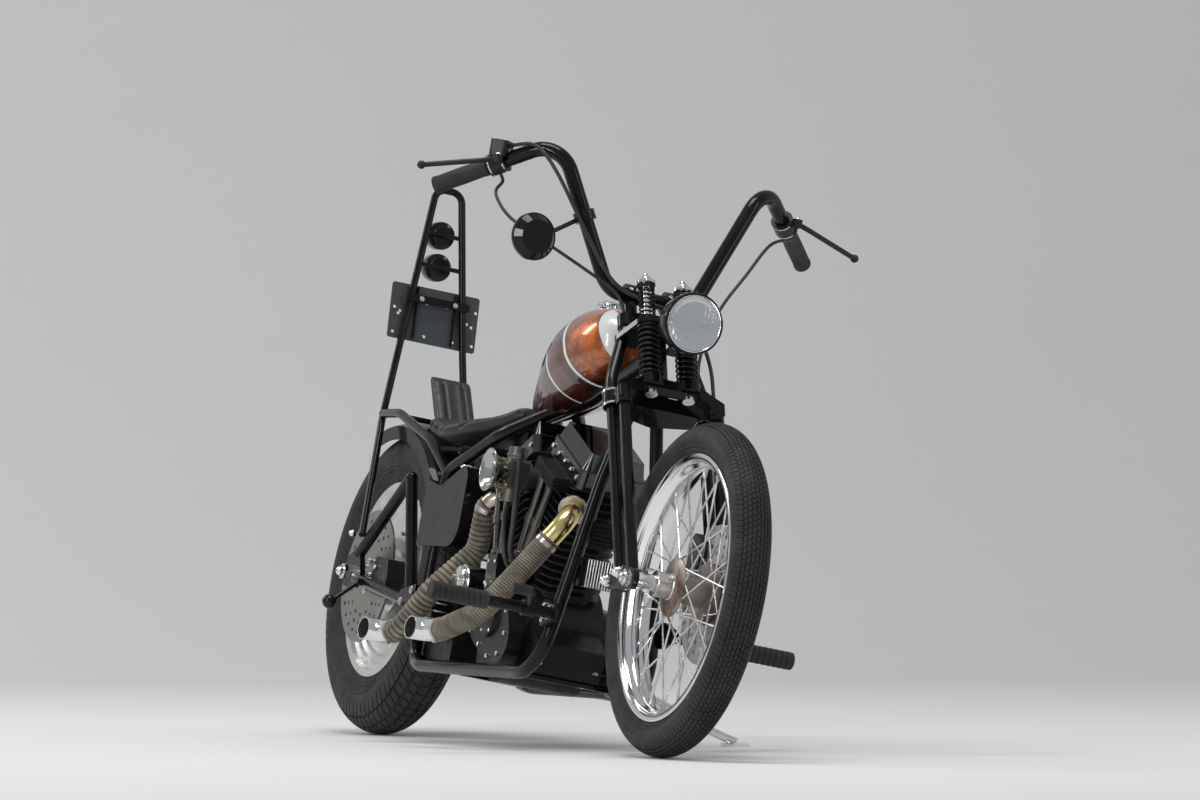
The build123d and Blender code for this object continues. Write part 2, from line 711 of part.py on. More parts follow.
# Pushrod tubes on the right: two to each head, from the tappet blocks to the heads' seats
with BuildPart() as pushrod_tubes:
    for lean in (-v_half, v_half):
        seat_plane = cylinder_plane(lean, BOSS_LOW)
        side = 1 if lean > 0 else -1
        for foot, top in ((49, -34), (81, 24)):
            low = Vector(CRANK_X + side * foot, -103, CRANK_Z + 150)
            high = seat_plane.from_local_coords((side * top, -97, 0))
            bar(low, high, 9)
            bar(low + (high - low) * 0.42, low + (high - low) * 0.52, 12)
        with BuildSketch(seat_plane) as seat_room:
            with Locations((0, -91)):
                Rectangle(130, 60)
        extrude(seat_room.sketch, amount=12, mode=Mode.SUBTRACT)
    split(bisect_by=Plane.XY.offset(CRANK_Z + 150), keep=Keep.TOP)
pushrod_tubes.part.label = "pushrod_tubes"

# Carburettor on its manifold between the heads, with a float bowl below and a round top
CARB_X = 866.0
CARB_Z = 560.0
runner_out = FIN_HALF + 7 + SEAT_GAP
with BuildPart() as carburettor:
    bar((820, -34, CARB_Z), (950, -34, CARB_Z), 19)
    for side in (-1, 1):
        cut = cylinder_plane(side * v_half, 320)
        cut_at = cut.from_local_coords((-side * runner_out, 0, 0))
        split(bisect_by=Plane(origin=cut_at, z_dir=cut.x_dir * -side), keep=Keep.TOP)
    cross_bar(CARB_X, CARB_Z, 22, -92, -30)
    cross_bar(CARB_X, CARB_Z, 32, -98, -90)
    side_plate(
        [(CARB_X - 30, 528), (CARB_X + 30, 528), (CARB_X + 30, 592), (CARB_X - 30, 592)],
        -142,
        -98,
        8,
    )
    bar((CARB_X, -120, 500), (CARB_X, -120, 530), 21)
    bar((CARB_X, -120, 590), (CARB_X, -120, 618), 20)
carburettor.part.label = "carburettor"

# Intake bell: a flared horn that opens to the right
with BuildPart() as intake_bell:
    spun(
        [
            (-142.3, 26),
            (-142.3, 31),
            (-158, 32),
            (-170, 37),
            (-178, 44),
            (-181, 44),
            (-176, 36),
            (-164, 29),
            (-156, 26),
        ],
        CARB_X,
        CARB_Z,
    )
intake_bell.part.label = "intake_bell"

# Exhaust pipes: one from each head, down to the right and back, its end turned out and cut off
# level with the machine's side
PIPE_ROUTES = (
    (
        FRONT_PIPE_START,
        (1166, -98, 472),
        (1100, -225, 250),
        (930, -240, 207),
        (861, -243, 203.5),
        (799, -305, 203.5),
    ),
    (
        REAR_PIPE_START,
        REAR_PIPE_START + rear_pipe_dir * 66,
        (652, -90, 400),
        (625, -166, 300),
        (560, -199, 204),
        (475, -200, 201),
        (410, -265, 201),
    ),
)
PIPE_BENDS = ((50, 100, 150, 40), (42, 50, 60, 60, 40))
PIPE_MOUTHS = (-275.0, -235.0)
with BuildPart() as exhaust_pipes:
    for route, bends, mouth in zip(PIPE_ROUTES, PIPE_BENDS, PIPE_MOUTHS):
        bent_tube([tuple(point) for point in route], PIPE_R, list(bends), PIPE_R - PIPE_WALL)
        with Locations((route[-1][0], mouth - PIPE_R * 2, route[-1][2])):
            Box(PIPE_R * 6, PIPE_R * 4, PIPE_R * 4, mode=Mode.SUBTRACT)
exhaust_pipes.part.label = "exhaust_pipes"

# Primary cover on the left: a long oval case over the crankshaft's end and the clutch, with domes
CLUTCH_X = 585.0
CLUTCH_Z = 262.0
with BuildPart() as primary_cover:
    with BuildSketch(Plane.XZ.offset(-160)) as primary_outline:
        with Locations((CRANK_X, CRANK_Z)):
            Circle(72)
        with Locations((CLUTCH_X, CLUTCH_Z)):
            Circle(82)
        make_hull()
    extrude(primary_outline.sketch, amount=160 - PRIMARY_IN)
    cone_bar((CLUTCH_X, 158, CLUTCH_Z), (CLUTCH_X, 184, CLUTCH_Z), 74, 58)
    cone_bar((CRANK_X, 158, CRANK_Z), (CRANK_X, 172, CRANK_Z), 60, 48)
primary_cover.part.label = "primary_cover"

# Transmission: a case on the frame's cross plate, a finned end cover on the right and the
# drive pulley on the left
with BuildPart() as transmission:
    side_plate(
        [(478, RAIL_Z + 4), (640, RAIL_Z + 4), (640, 260), (612, 300), (590, 344), (490, 344), (478, 300)],
        -104,
        66,
        10,
    )
    with BuildSketch(Plane.XZ.offset(103)) as end_cover:
        with Locations((540, 255)):
            RectangleRounded(110, 106, 24)
    extrude(end_cover.sketch, amount=43)
    with BuildSketch(*[Plane.XY.offset(205 + 17 * n) for n in range(6)]) as cover_fins:
        with Locations((540, -127)):
            RectangleRounded(122, 46, 20)
    extrude(amount=6)
    cross_bar(TRANS_X, TRANS_Z, 30, 65, PULLEY_Y + BELT_W / 2 + 2)
    cross_bar(
        TRANS_X,
        TRANS_Z,
        GEARBOX_PULLEY_R - SEAT_GAP,
        PULLEY_Y - BELT_W / 2 - 2,
        PULLEY_Y + BELT_W / 2 + 2,
    )
transmission.part.label = "transmission"

# Starter: a barrel across the machine behind the engine, with a capped end on the right
with BuildPart() as starter:
    cross_bar(STARTER_X, STARTER_Z, STARTER_R, -128, -20)
    cross_bar(STARTER_X, STARTER_Z, STARTER_R - 4, -140, -127)
    cross_bar(STARTER_X, STARTER_Z, 26, -21, PRIMARY_IN + 8)
    add(primary_cover.part, mode=Mode.SUBTRACT)
starter.part.label = "starter"

# Oil tank between the frame's rails, with channels for the two uprights and a filler neck
OIL_CAP = (556.0, -102.0, 572.0)
with BuildPart() as oil_tank:
    with BuildSketch(Plane.XZ.offset(-TANK_HALF)) as tank_side:
        with BuildLine():
            FilletPolyline(
                (388, 400), (626, 400), (626, 588), (474, 530), (388, 545), radius=[56, 30, 30], close=False
            )
            Line((388, 545), (388, 400))
        make_face()
    extrude(tank_side.sketch, amount=2 * TANK_HALF)
    for side in (-1, 1):
        bar(
            (UPRIGHT_X, side * UPRIGHT_Y, 390),
            (UPRIGHT_X, side * UPRIGHT_Y, 600),
            UPRIGHT_R + SEAT_GAP,
            mode=Mode.SUBTRACT,
        )
    bar((OIL_CAP[0], OIL_CAP[1], 540), OIL_CAP, 19)
oil_tank.part.label = "oil_tank"

# Regulator with upright fins between the down tubes, and the oil cooler above it
with BuildPart() as finned_coolers:
    with BuildSketch(Plane.YZ.offset(1206)) as reg_plate:
        with Locations((0, 366)):
            Rectangle(196, 30)
    extrude(reg_plate.sketch, amount=3.6)
    with BuildSketch(Plane.YZ.offset(1208)) as reg_block:
        with Locations((0, 366)):
            Rectangle(144, 58)
    extrude(reg_block.sketch, amount=12)
    with BuildSketch(Plane.YZ.offset(1219)) as reg_fins:
        with Locations([(12.6 * n, 366) for n in range(-5, 6)]):
            Rectangle(4, 58)
    extrude(reg_fins.sketch, amount=20)
    with BuildSketch(Plane.YZ.offset(1203.5)) as cooler_plate:
        with Locations((0, 450)):
            Rectangle(180, 18)
    extrude(cooler_plate.sketch, amount=5)
    with BuildSketch(Plane.YZ.offset(1180)) as cooler_block:
        with Locations((0, 450)):
            Rectangle(120, 50)
    extrude(cooler_block.sketch, amount=30)
    with BuildSketch(Plane.YZ.offset(1178)) as cooler_fins:
        with Locations([(0, 450 + 9 * n) for n in range(-2, 3)]):
            Rectangle(128, 3)
    extrude(cooler_fins.sketch, amount=38)
finned_coolers.part.label = "finned_coolers"

# Fuel tank: a teardrop lofted through a few sections, with a tunnel over the spine and a filler neck
TANK_SECTIONS = (
    # x, half width, low, high
    (664.0, 22.0, 698.0, 722.0),
    (704.0, 46.0, 699.0, 764.0),
    (770.0, 70.0, 704.0, 832.0),
    (880.0, 98.0, 722.0, 914.0),
    (1000.0, 98.0, 756.0, 936.0),
    (1086.0, 78.0, 796.0, 920.0),
    (1118.0, 46.0, 818.0, 890.0),
)
TANK_CAP_X = 944.0
TANK_CAP_Z = 938.0
with BuildPart() as fuel_tank:
    tank_sketches = []
    for x, half_width, low, high in TANK_SECTIONS:
        with BuildSketch(wheel_plane(x, (low + high) / 2)) as section:
            RectangleRounded(2 * half_width, high - low, 0.46 * min(2 * half_width, high - low))
        tank_sketches.append(section.sketch)
    loft(sections=tank_sketches)
    bent_tube(
        [tuple(SPINE_FRONT), (930.0, 0.0, 748.0), (640.0, 0.0, 702.6)],
        SPINE_R + SEAT_GAP,
        260,
        mode=Mode.SUBTRACT,
    )
    side_plate(
        [(640, 600), (1130, 600), (1130, 800), (930, 748), (640, 702.6)],
        -SPINE_R - SEAT_GAP,
        SPINE_R + SEAT_GAP,
        mode=Mode.SUBTRACT,
    )
    for side in (-1, 1):
        bent_tube(cradle_route(side)[5:], UPRIGHT_R + SEAT_GAP, 90, mode=Mode.SUBTRACT)
    bar((TANK_CAP_X, 0, 900), (TANK_CAP_X, 0, TANK_CAP_Z), 24)
fuel_tank.part.label = "fuel_tank"

# Filler caps of the fuel tank and the oil tank
with BuildPart() as filler_caps:
    bar((TANK_CAP_X, 0, TANK_CAP_Z + SEAT_GAP), (TANK_CAP_X, 0, TANK_CAP_Z + 10), 31)
    cone_bar((TANK_CAP_X, 0, TANK_CAP_Z + 9), (TANK_CAP_X, 0, TANK_CAP_Z + 15), 27, 20)
    oil_cap_foot = Vector(*OIL_CAP) + Vector(0, 0, SEAT_GAP)
    cone_bar(oil_cap_foot, oil_cap_foot + Vector(0, 0, 7), 23, 20)
filler_caps.part.label = "filler_caps"

# Solo seat: a long profile cut to its plan, the springs under it and the backrest pad behind
SEAT_SIDE = (
    # x, z
    (655, 692),
    (655, 724),
    (560, 694),
    (420, 668),
    (300, 676),
    (190, 694),
    (190, 650),
    (300, 636),
    (370, 630),
    (450, 630),
    (560, 652),
)
SEAT_PLAN = (
    # x, half width
    (655, 50),
    (600, 66),
    (520, 118),
    (450, 138),
    (390, 132),
    (350, 102),
    (300, 92),
    (190, 78),
)
with BuildPart() as seat:
    side_plate(SEAT_SIDE, -150, 150)
    with BuildSketch(Plane.XY.offset(600)) as seat_plan:
        Polygon(*SEAT_PLAN, *[(x, -y) for x, y in reversed(SEAT_PLAN)], align=None)
    extrude(seat_plan.sketch, amount=160, mode=Mode.INTERSECT)
seat.part.label = "seat"


def spring_column(foot, up, height, radius, bore, turns):
    """A coil spring drawn as a ribbed column on a foot point."""
    pitch = height / turns
    outline = [(bore, 0.0), (radius - 5, 0.0)]
    for turn in range(turns):
        base = turn * pitch
        outline += [
            (radius - 5, base + 0.12 * pitch),
            (radius, base + 0.32 * pitch),
            (radius, base + 0.68 * pitch),
            (radius - 5, base + 0.88 * pitch),
        ]
    outline += [(radius - 5, height), (bore, height)]
    section_plane = Plane(origin=foot, x_dir=(0, 1, 0), z_dir=Vector(0, 1, 0).cross(Vector(*up)))
    with BuildSketch(section_plane) as section:
        Polygon(*outline, align=None)
    revolve(section.sketch, axis=Axis(foot, up))


with BuildPart() as seat_springs:
    for side in (-1, 1):
        spring_column((415, side * 62, 564 + SEAT_GAP), (0, 0, 1), 630 - 564 - 2 * SEAT_GAP, 22, 8, 4)
seat_springs.part.label = "seat_springs"

with BuildPart() as backrest_pad:
    side_plate([(178, 640), (178, 668), (70, 790), (38, 790), (32, 672)], -48, 48)
    cross_bar(0, REAR_R, FENDER_R + FENDER_CROWN + SEAT_GAP, -60, 60, mode=Mode.SUBTRACT)
    cross_bar(fender_tube_x, fender_tube_z, FENDER_TUBE_R + SEAT_GAP, -60, 60, mode=Mode.SUBTRACT)
backrest_pad.part.label = "backrest_pad"

# Sissy bar: one tube bent over the top, with two cross bars that carry the tail lamps
LAMP_Z = (1040.0, 1112.0)
LAMP_R = 31.0


def sissy_at(z):
    """Distance forward and half width of the sissy bar at a height above its middle bend."""
    part = (z - SISSY_MID[2]) / (SISSY_TOP[2] - SISSY_MID[2])
    x = SISSY_MID[0] + (SISSY_TOP[0] - SISSY_MID[0]) * part
    return x, SISSY_MID[1] + (SISSY_TOP[1] - SISSY_MID[1]) * part


with BuildPart() as sissy_bar:
    bent_tube(SISSY_ROUTE, SISSY_R, SISSY_BENDS)
    for z in LAMP_Z:
        x, half_width = sissy_at(z)
        cross_bar(x, z, 5, -half_width, half_width)
sissy_bar.part.label = "sissy_bar"

with BuildPart() as tail_lamps:
    for z in LAMP_Z:
        x = sissy_at(z)[0] - 5 - SEAT_GAP
        bar((x, 0, z), (x - 10, 0, z), 22)
        bar((x - 9, 0, z), (x - 36, 0, z), LAMP_R)
tail_lamps.part.label = "tail_lamps"

with BuildPart() as tail_lenses:
    for z in LAMP_Z:
        x = sissy_at(z)[0] - 41 - SEAT_GAP - SEAT_GAP
        cone_bar((x, 0, z), (x - 8, 0, z), LAMP_R - 3, LAMP_R - 9)
tail_lenses.part.label = "tail_lenses"

# Plate bracket behind the sissy bar: a blank plate with two fixing holes
BRACKET_Z = 930.0
BRACKET_W = 208.0
BRACKET_H = 126.0
BRACKET_HOLE_PITCH = 160.0
BRACKET_HOLE_R = 3.5
bar_slope = Vector(SISSY_TOP[0] - SISSY_MID[0], 0, SISSY_TOP[2] - SISSY_MID[2]).normalized()
bracket_face = Plane(
    origin=(sissy_at(BRACKET_Z)[0], 0, BRACKET_Z),
    x_dir=(0, 1, 0),
    z_dir=(-bar_slope.Z, 0, bar_slope.X),
)
bracket_plane = bracket_face.offset(SISSY_R + SEAT_GAP)
with BuildPart() as plate_bracket:
    with BuildSketch(bracket_plane) as bracket_outline:
        RectangleRounded(BRACKET_W, BRACKET_H, 6)
        for x in (-BRACKET_HOLE_PITCH / 2, BRACKET_HOLE_PITCH / 2):
            with Locations((x, 0)):
                Circle(BRACKET_HOLE_R, mode=Mode.SUBTRACT)
    extrude(bracket_outline.sketch, amount=3)
plate_bracket.part.label = "plate_bracket"

# Rear blinkers: a ball on a bent stem from each side's lower swingarm tube
with BuildPart() as rear_blinkers:
    blinker_z = REAR_R - 11 + (118 - 36) / (PIVOT_X - 36) * (PIVOT_Z - REAR_R + 11)
    for side in (-1, 1):
        foot_y = side * (SWING_Y + SWING_R + SEAT_GAP)
        cross_bar(118, blinker_z, 8, foot_y, foot_y + side * 14)
        bar((118, foot_y + side * 9, blinker_z), (132, side * 206, 260), 5)
        with Locations(Location((132, side * 210, 258))):
            Sphere(16)
rear_blinkers.part.label = "rear_blinkers"

# Rear brake caliper inside the right lower swingarm tube, open to the disc
with BuildPart() as rear_caliper:
    side_plate(
        [(96, 296), (176, 286), (190, 330), (178, 372), (104, 376), (92, 336)],
        -SWING_Y + SWING_R + SEAT_GAP,
        -70,
        8,
    )
    spun(
        [
            (REAR_DISC_Y - DISC_T / 2 - 1, 20),
            (REAR_DISC_Y - DISC_T / 2 - 1, REAR_DISC_R + 3),
            (REAR_DISC_Y + DISC_T / 2 + 1, REAR_DISC_R + 3),
            (REAR_DISC_Y + DISC_T / 2 + 1, 20),
        ],
        0,
        REAR_R,
        mode=Mode.SUBTRACT,
    )
rear_caliper.part.label = "rear_caliper"

# Forward foot controls on the down tubes: plates, pegs' tubes, brake pedal and shift lever
CONTROL_X = 1270.0
CONTROL_Z = 267.0
with BuildPart() as foot_controls:
    for side in (-1, 1):
        low_y, high_y = sorted((side * 128.4, side * 137.4))
        side_plate(
            [(1212, 240), (1238, 240), (1288, 252), (1290, 282), (1238, 296), (1210, 296)],
            low_y,
            high_y,
            6,
        )
        cross_bar(CONTROL_X, CONTROL_Z, 12, side * 130, side * 300)
        bar((CONTROL_X, side * 190, CONTROL_Z), (1334, side * 216, 300), 7)
        cross_bar(1334, 300, 9, side * 206, side * 256)
        cross_bar(CONTROL_X, CONTROL_Z, 17, side * 176, side * 204)
foot_controls.part.label = "foot_controls"

with BuildPart() as peg_rubbers:
    for side in (-1, 1):
        cross_bar(CONTROL_X, CONTROL_Z, 19, side * 284, side * 411)
        cross_bar(CONTROL_X, CONTROL_Z, 12, side * 280, side * 300, mode=Mode.SUBTRACT)
peg_rubbers.part.label = "peg_rubbers"

# Side stand: a boss on the frame's pin, a bent leg and a foot that lies flat on the ground
lean = radians(LEAN_DEG)
ground_rise = REAR_CROWN_R * (1 - cos(lean))
ground_up = Vector(0, -sin(lean), cos(lean))
STAND_FOOT_Y = 442.0
foot_z = (STAND_FOOT_Y * sin(lean) - ground_rise) / cos(lean)
foot_centre = Vector(STAND_X + 33, STAND_FOOT_Y, foot_z)
with BuildPart() as side_stand:
    bar((STAND_X, STAND_Y, STAND_LOW), (STAND_X, STAND_Y, STAND_TOP), 16)
    bent_tube(
        [
            (STAND_X, STAND_Y + 6, 153),
            (STAND_X + 8, 240, 150),
            (STAND_X + 26, 380, 106),
            tuple(foot_centre + ground_up * 9),
        ],
        STAND_R,
        [60, 60],
    )
    with BuildSketch(Plane(origin=foot_centre, x_dir=(1, 0, 0), z_dir=ground_up)) as stand_foot:
        RectangleRounded(70, 46, 12)
    extrude(stand_foot.sketch, amount=7)
    bar((STAND_X, STAND_Y, 130), (STAND_X, STAND_Y, 180), STAND_PIN_R + RUN, mode=Mode.SUBTRACT)
side_stand.part.label = "side_stand"


def fork_plane(z):
    """The plane square to the steering axis at a height in the fork's frame."""
    return Plane(origin=fork_at(0, 0, z), x_dir=FORK.x_dir, z_dir=FORK.z_dir)


def fork_side(y):
    """The fork's side view at a distance across, facing right."""
    return Plane(origin=fork_at(0, y, 0), x_dir=FORK.x_dir, z_dir=(0, -1, 0))


def fork_cross(x, z, radius, y0, y1, mode=Mode.ADD):
    """A round bar across the fork at a place in the fork's frame."""
    bar(fork_at(x, y0, z), fork_at(x, y1, z), radius, mode)


def fork_post(x, y, z0, z1, radius, mode=Mode.ADD):
    """A round bar along the steering axis' direction."""
    bar(fork_at(x, y, z0), fork_at(x, y, z1), radius, mode)


# Rigid half of the fork: legs, lower and upper trees, stem, spring perch, handlebar risers and
# the headlamp's arm
EYE_IN = 91.8
EYE_OUT = 117.2
PIVOT_BOLT_R = 7.0
PERCH_Z = 606.0
PERCH_T = 12.0
ROD_X = 72.0
RISER_Y = 45.0
LAMP_ARM_R = 9.0
with BuildPart() as rigid_fork:
    for side in (-1, 1):
        bent_tube(
            [
                tuple(fork_at(RIGID_X, side * LEG_Y, 0)),
                tuple(fork_at(RIGID_X, side * LEG_Y, 500)),
                tuple(fork_at(4, side * UPPER_LEG_Y, UPPER_TREE_Z)),
            ],
            RIGID_LEG_R,
            180,
        )
        fork_cross(RIGID_X, 0, 17, side * EYE_IN, side * EYE_OUT)
        fork_post(BAR_LOCAL_X, side * RISER_Y, UPPER_TREE_Z, BAR_LOCAL_Z, 14)
        fork_cross(BAR_LOCAL_X, BAR_LOCAL_Z, 25, side * (RISER_Y - 13), side * (RISER_Y + 13))
    with BuildSketch(fork_plane(LOWER_TREE_Z - TREE_H / 2)) as lower_tree:
        with Locations((RIGID_X, -LEG_Y), (RIGID_X, LEG_Y)):
            Circle(20)
        Circle(34)
        make_hull()
    extrude(lower_tree.sketch, amount=TREE_H)
    fork_post(0, 0, LOWER_TREE_Z, HEAD_LOW_Z - SEAT_GAP, HEAD_TUBE_R)
    fork_post(0, 0, LOWER_TREE_Z, UPPER_TREE_Z, STEM_R)
    with BuildSketch(fork_plane(HEAD_TOP_Z + SEAT_GAP)) as upper_tree:
        with Locations((4, -UPPER_LEG_Y), (4, UPPER_LEG_Y)):
            Circle(20)
        Circle(32)
        make_hull()
    extrude(upper_tree.sketch, amount=29)
    with BuildSketch(fork_plane(PERCH_Z)) as perch:
        with Locations((6, -71), (6, 71)):
            Circle(16)
        with Locations((ROD_X, -SPRING_Y), (ROD_X, SPRING_Y)):
            Circle(29)
        make_hull()
        Circle(HEAD_TUBE_R + 6, mode=Mode.SUBTRACT)
        with Locations((ROD_X, -SPRING_Y), (ROD_X, SPRING_Y)):
            Circle(SPRING_ROD_R, mode=Mode.SUBTRACT)
    extrude(perch.sketch, amount=PERCH_T)
    bar(fork_at(88, 0, PERCH_Z + 6), fork_at(122, 0, 597), LAMP_ARM_R)
    fork_cross(BAR_LOCAL_X, BAR_LOCAL_Z, BAR_R + SEAT_GAP, -70, 70, mode=Mode.SUBTRACT)
    fork_cross(RIGID_X, 0, PIVOT_BOLT_R + SEAT_GAP, -130, 130, mode=Mode.SUBTRACT)
rigid_fork.part.label = "rigid_fork"

# Springing half of the fork: the arched yoke under the springs and the two front legs
YOKE_LOW = 452.0
YOKE_HIGH = 475.0
YOKE_SIDE = (
    # y, z from the middle of the underside to the middle of the top
    (60, YOKE_LOW),
    (82, 436),
    (90, 416),
    (118, 416),
    (118, 444),
    (84, 462),
    (64, YOKE_HIGH),
)
with BuildPart() as spring_fork:
    with BuildSketch(Plane(origin=fork_at(56, 0, 0), x_dir=(0, 1, 0), z_dir=FORK.x_dir)) as yoke:
        with BuildLine():
            Polyline(*YOKE_SIDE, *[(-y, z) for y, z in reversed(YOKE_SIDE)], YOKE_SIDE[0])
        make_face()
    extrude(yoke.sketch, amount=30)
    for side in (-1, 1):
        fork_post(SPRING_LEG_X, side * LEG_Y, SPRING_LEG_Z, 440, SPRING_LEG_R)
        fork_post(SPRING_LEG_X, side * LEG_Y, 404, 442, 17)
        fork_post(ROD_X, side * SPRING_Y, YOKE_LOW + 4, YOKE_HIGH, SPRING_R)
        fork_cross(SPRING_LEG_X, SPRING_LEG_Z, 15, side * EYE_IN, side * EYE_OUT)
        fork_post(ROD_X, side * SPRING_Y, 430, 500, SPRING_ROD_R, mode=Mode.SUBTRACT)
    fork_cross(SPRING_LEG_X, SPRING_LEG_Z, PIVOT_BOLT_R + SEAT_GAP, -130, 130, mode=Mode.SUBTRACT)
spring_fork.part.label = "spring_fork"

# Fork springs, lower and upper
fork_up = tuple(FORK.z_dir)
with BuildPart() as fork_springs:
    for side in (-1, 1):
        foot = fork_at(ROD_X, side * SPRING_Y, YOKE_HIGH + SEAT_GAP)
        lower_height = PERCH_Z - YOKE_HIGH - 2 * SEAT_GAP
        spring_column(tuple(foot), fork_up, lower_height, SPRING_R, SPRING_ROD_R, 7)
        foot = fork_at(ROD_X, side * SPRING_Y, PERCH_Z + PERCH_T + SEAT_GAP)
        upper_height = SPRING_TOP_Z - PERCH_Z - PERCH_T - SEAT_GAP
        spring_column(tuple(foot), fork_up, upper_height, UPPER_SPRING_R, SPRING_ROD_R, 4)
fork_springs.part.label = "fork_springs"

# Rockers that join the two halves to the axle, and the bolts through them
with BuildPart() as rockers:
    for side in (-1, 1):
        with BuildSketch(fork_side(side * ROCKER_Y + ROCKER_T / 2)) as rocker:
            with Locations((RIGID_X, 0)):
                Circle(17)
            with Locations((SPRING_LEG_X, SPRING_LEG_Z)):
                Circle(17)
            with Locations((AXLE_X, AXLE_Z)):
                Circle(22)
            make_hull()
            with Locations((RIGID_X, 0), (SPRING_LEG_X, SPRING_LEG_Z)):
                Circle(PIVOT_BOLT_R + SEAT_GAP, mode=Mode.SUBTRACT)
            with Locations((AXLE_X, AXLE_Z)):
                Circle(FRONT_AXLE_R + SEAT_GAP, mode=Mode.SUBTRACT)
        extrude(rocker.sketch, amount=ROCKER_T)
rockers.part.label = "rockers"

# Bright hardware of the fork: the springs' rods with their nuts, the rockers' bolts and the axle
# with its spacers
rocker_face = ROCKER_Y + ROCKER_T / 2 + SEAT_GAP
with BuildPart() as fork_hardware:
    cross_bar(WHEELBASE, FRONT_R, FRONT_AXLE_R, -rocker_face - 20, rocker_face + 20)
    for side in (-1, 1):
        fork_post(ROD_X, side * SPRING_Y, 442, SPRING_TOP_Z + 14, SPRING_ROD_R - SEAT_GAP)
        fork_post(ROD_X, side * SPRING_Y, 440, YOKE_LOW - SEAT_GAP, 13)
        fork_post(ROD_X, side * SPRING_Y, SPRING_TOP_Z + SEAT_GAP, SPRING_TOP_Z + 6, UPPER_SPRING_R)
        cone_bar(
            fork_at(ROD_X, side * SPRING_Y, SPRING_TOP_Z + 5),
            fork_at(ROD_X, side * SPRING_Y, SPRING_TOP_Z + 26),
            12,
            6,
        )
        for x, z in ((RIGID_X, 0), (SPRING_LEG_X, SPRING_LEG_Z)):
            fork_cross(x, z, PIVOT_BOLT_R, side * (EYE_IN - 2), side * (rocker_face + 6))
            with BuildSketch(fork_side(side * rocker_face)) as bolt_head:
                with Locations((x, z)):
                    RegularPolygon(13, 6)
            extrude(bolt_head.sketch, amount=-side * 9)
            fork_cross(x, z, 9, side * (rocker_face + 8), side * (rocker_face + 13))
        cross_bar(WHEELBASE, FRONT_R, 17, side * (FRONT_HUB_HALF + SEAT_GAP), side * EYE_OUT)
        with BuildSketch(fork_side(side * rocker_face)) as axle_nut:
            with Locations((AXLE_X, AXLE_Z)):
                RegularPolygon(18, 6)
        extrude(axle_nut.sketch, amount=-side * 14)
fork_hardware.part.label = "fork_hardware"

# Headlamp: a level bowl with a wide rim on the fork's arm, and its round lens
LAMP_R_OUT = 65.0
LAMP_GLASS_R = 57.0
LAMP_SIDE = (
    # x from the face, radius
    (-4, 0),
    (-4, LAMP_GLASS_R),
    (0, LAMP_GLASS_R),
    (0, LAMP_R_OUT),
    (-14, LAMP_R_OUT),
    (-18, LAMP_R_OUT - 4),
    (-52, LAMP_R_OUT - 7),
    (-80, 46),
    (-98, 28),
    (-106, 0),
)
arm_end = fork_at(122, 0, 597)
LAMP_FACE_X = arm_end.X + 98.7
LAMP_CENTRE_Z = arm_end.Z - 2.6
lamp_plane = Plane(origin=(LAMP_FACE_X, 0, LAMP_CENTRE_Z), x_dir=(1, 0, 0), z_dir=(0, -1, 0))
with BuildPart() as headlamp:
    with BuildSketch(lamp_plane) as bowl:
        Polygon(*LAMP_SIDE, align=None)
    revolve(bowl.sketch, axis=Axis((0, 0, LAMP_CENTRE_Z), (1, 0, 0)))
    bar(fork_at(88, 0, PERCH_Z + 6), fork_at(122.4, 0, 596.8), LAMP_ARM_R + SEAT_GAP, mode=Mode.SUBTRACT)
headlamp.part.label = "headlamp"

with BuildPart() as headlamp_glass:
    glass_r = LAMP_GLASS_R - SEAT_GAP
    with BuildSketch(lamp_plane) as lens:
        Polygon(
            (8, 0),
            (-4 + SEAT_GAP, 0),
            (-4 + SEAT_GAP, glass_r),
            (0, glass_r),
            (5, 36),
            (7.4, 16),
            align=None,
        )
    revolve(lens.sketch, axis=Axis((0, 0, LAMP_CENTRE_Z), (1, 0, 0)))
headlamp_glass.part.label = "headlamp_glass"

# Handlebar: a high bar that rises, kicks back and drops to the grips
BAR_CENTRE = fork_at(BAR_LOCAL_X, 0, BAR_LOCAL_Z)
BAR_TOP = (BAR_CENTRE.X - 57.3, 235.0, BAR_CENTRE.Z + 294.6)
BAR_END = (BAR_CENTRE.X - 241.3, 423.0, BAR_CENTRE.Z + 165.6)
bar_right = [
    (BAR_END[0], -BAR_END[1], BAR_END[2]),
    (BAR_TOP[0], -BAR_TOP[1], BAR_TOP[2]),
    (BAR_CENTRE.X, -95.0, BAR_CENTRE.Z),
]
bar_left = [(x, -y, z) for x, y, z in reversed(bar_right)]
with BuildPart() as handlebar:
    bent_tube(bar_right + bar_left, BAR_R, [66, 60, 60, 66])
handlebar.part.label = "handlebar"


def grip_at(side, distance):
    """A point on the bar's last straight run, measured from the bar's end."""
    end = Vector(BAR_END[0], side * BAR_END[1], BAR_END[2])
    top = Vector(BAR_TOP[0], side * BAR_TOP[1], BAR_TOP[2])
    return end + (top - end).normalized() * distance


with BuildPart() as grips:
    for side in (-1, 1):
        bar(grip_at(side, -5), grip_at(side, GRIP_LEN), GRIP_R)
        bar(grip_at(side, -SEAT_GAP), grip_at(side, GRIP_LEN + 5), BAR_R + SEAT_GAP, mode=Mode.SUBTRACT)
grips.part.label = "grips"

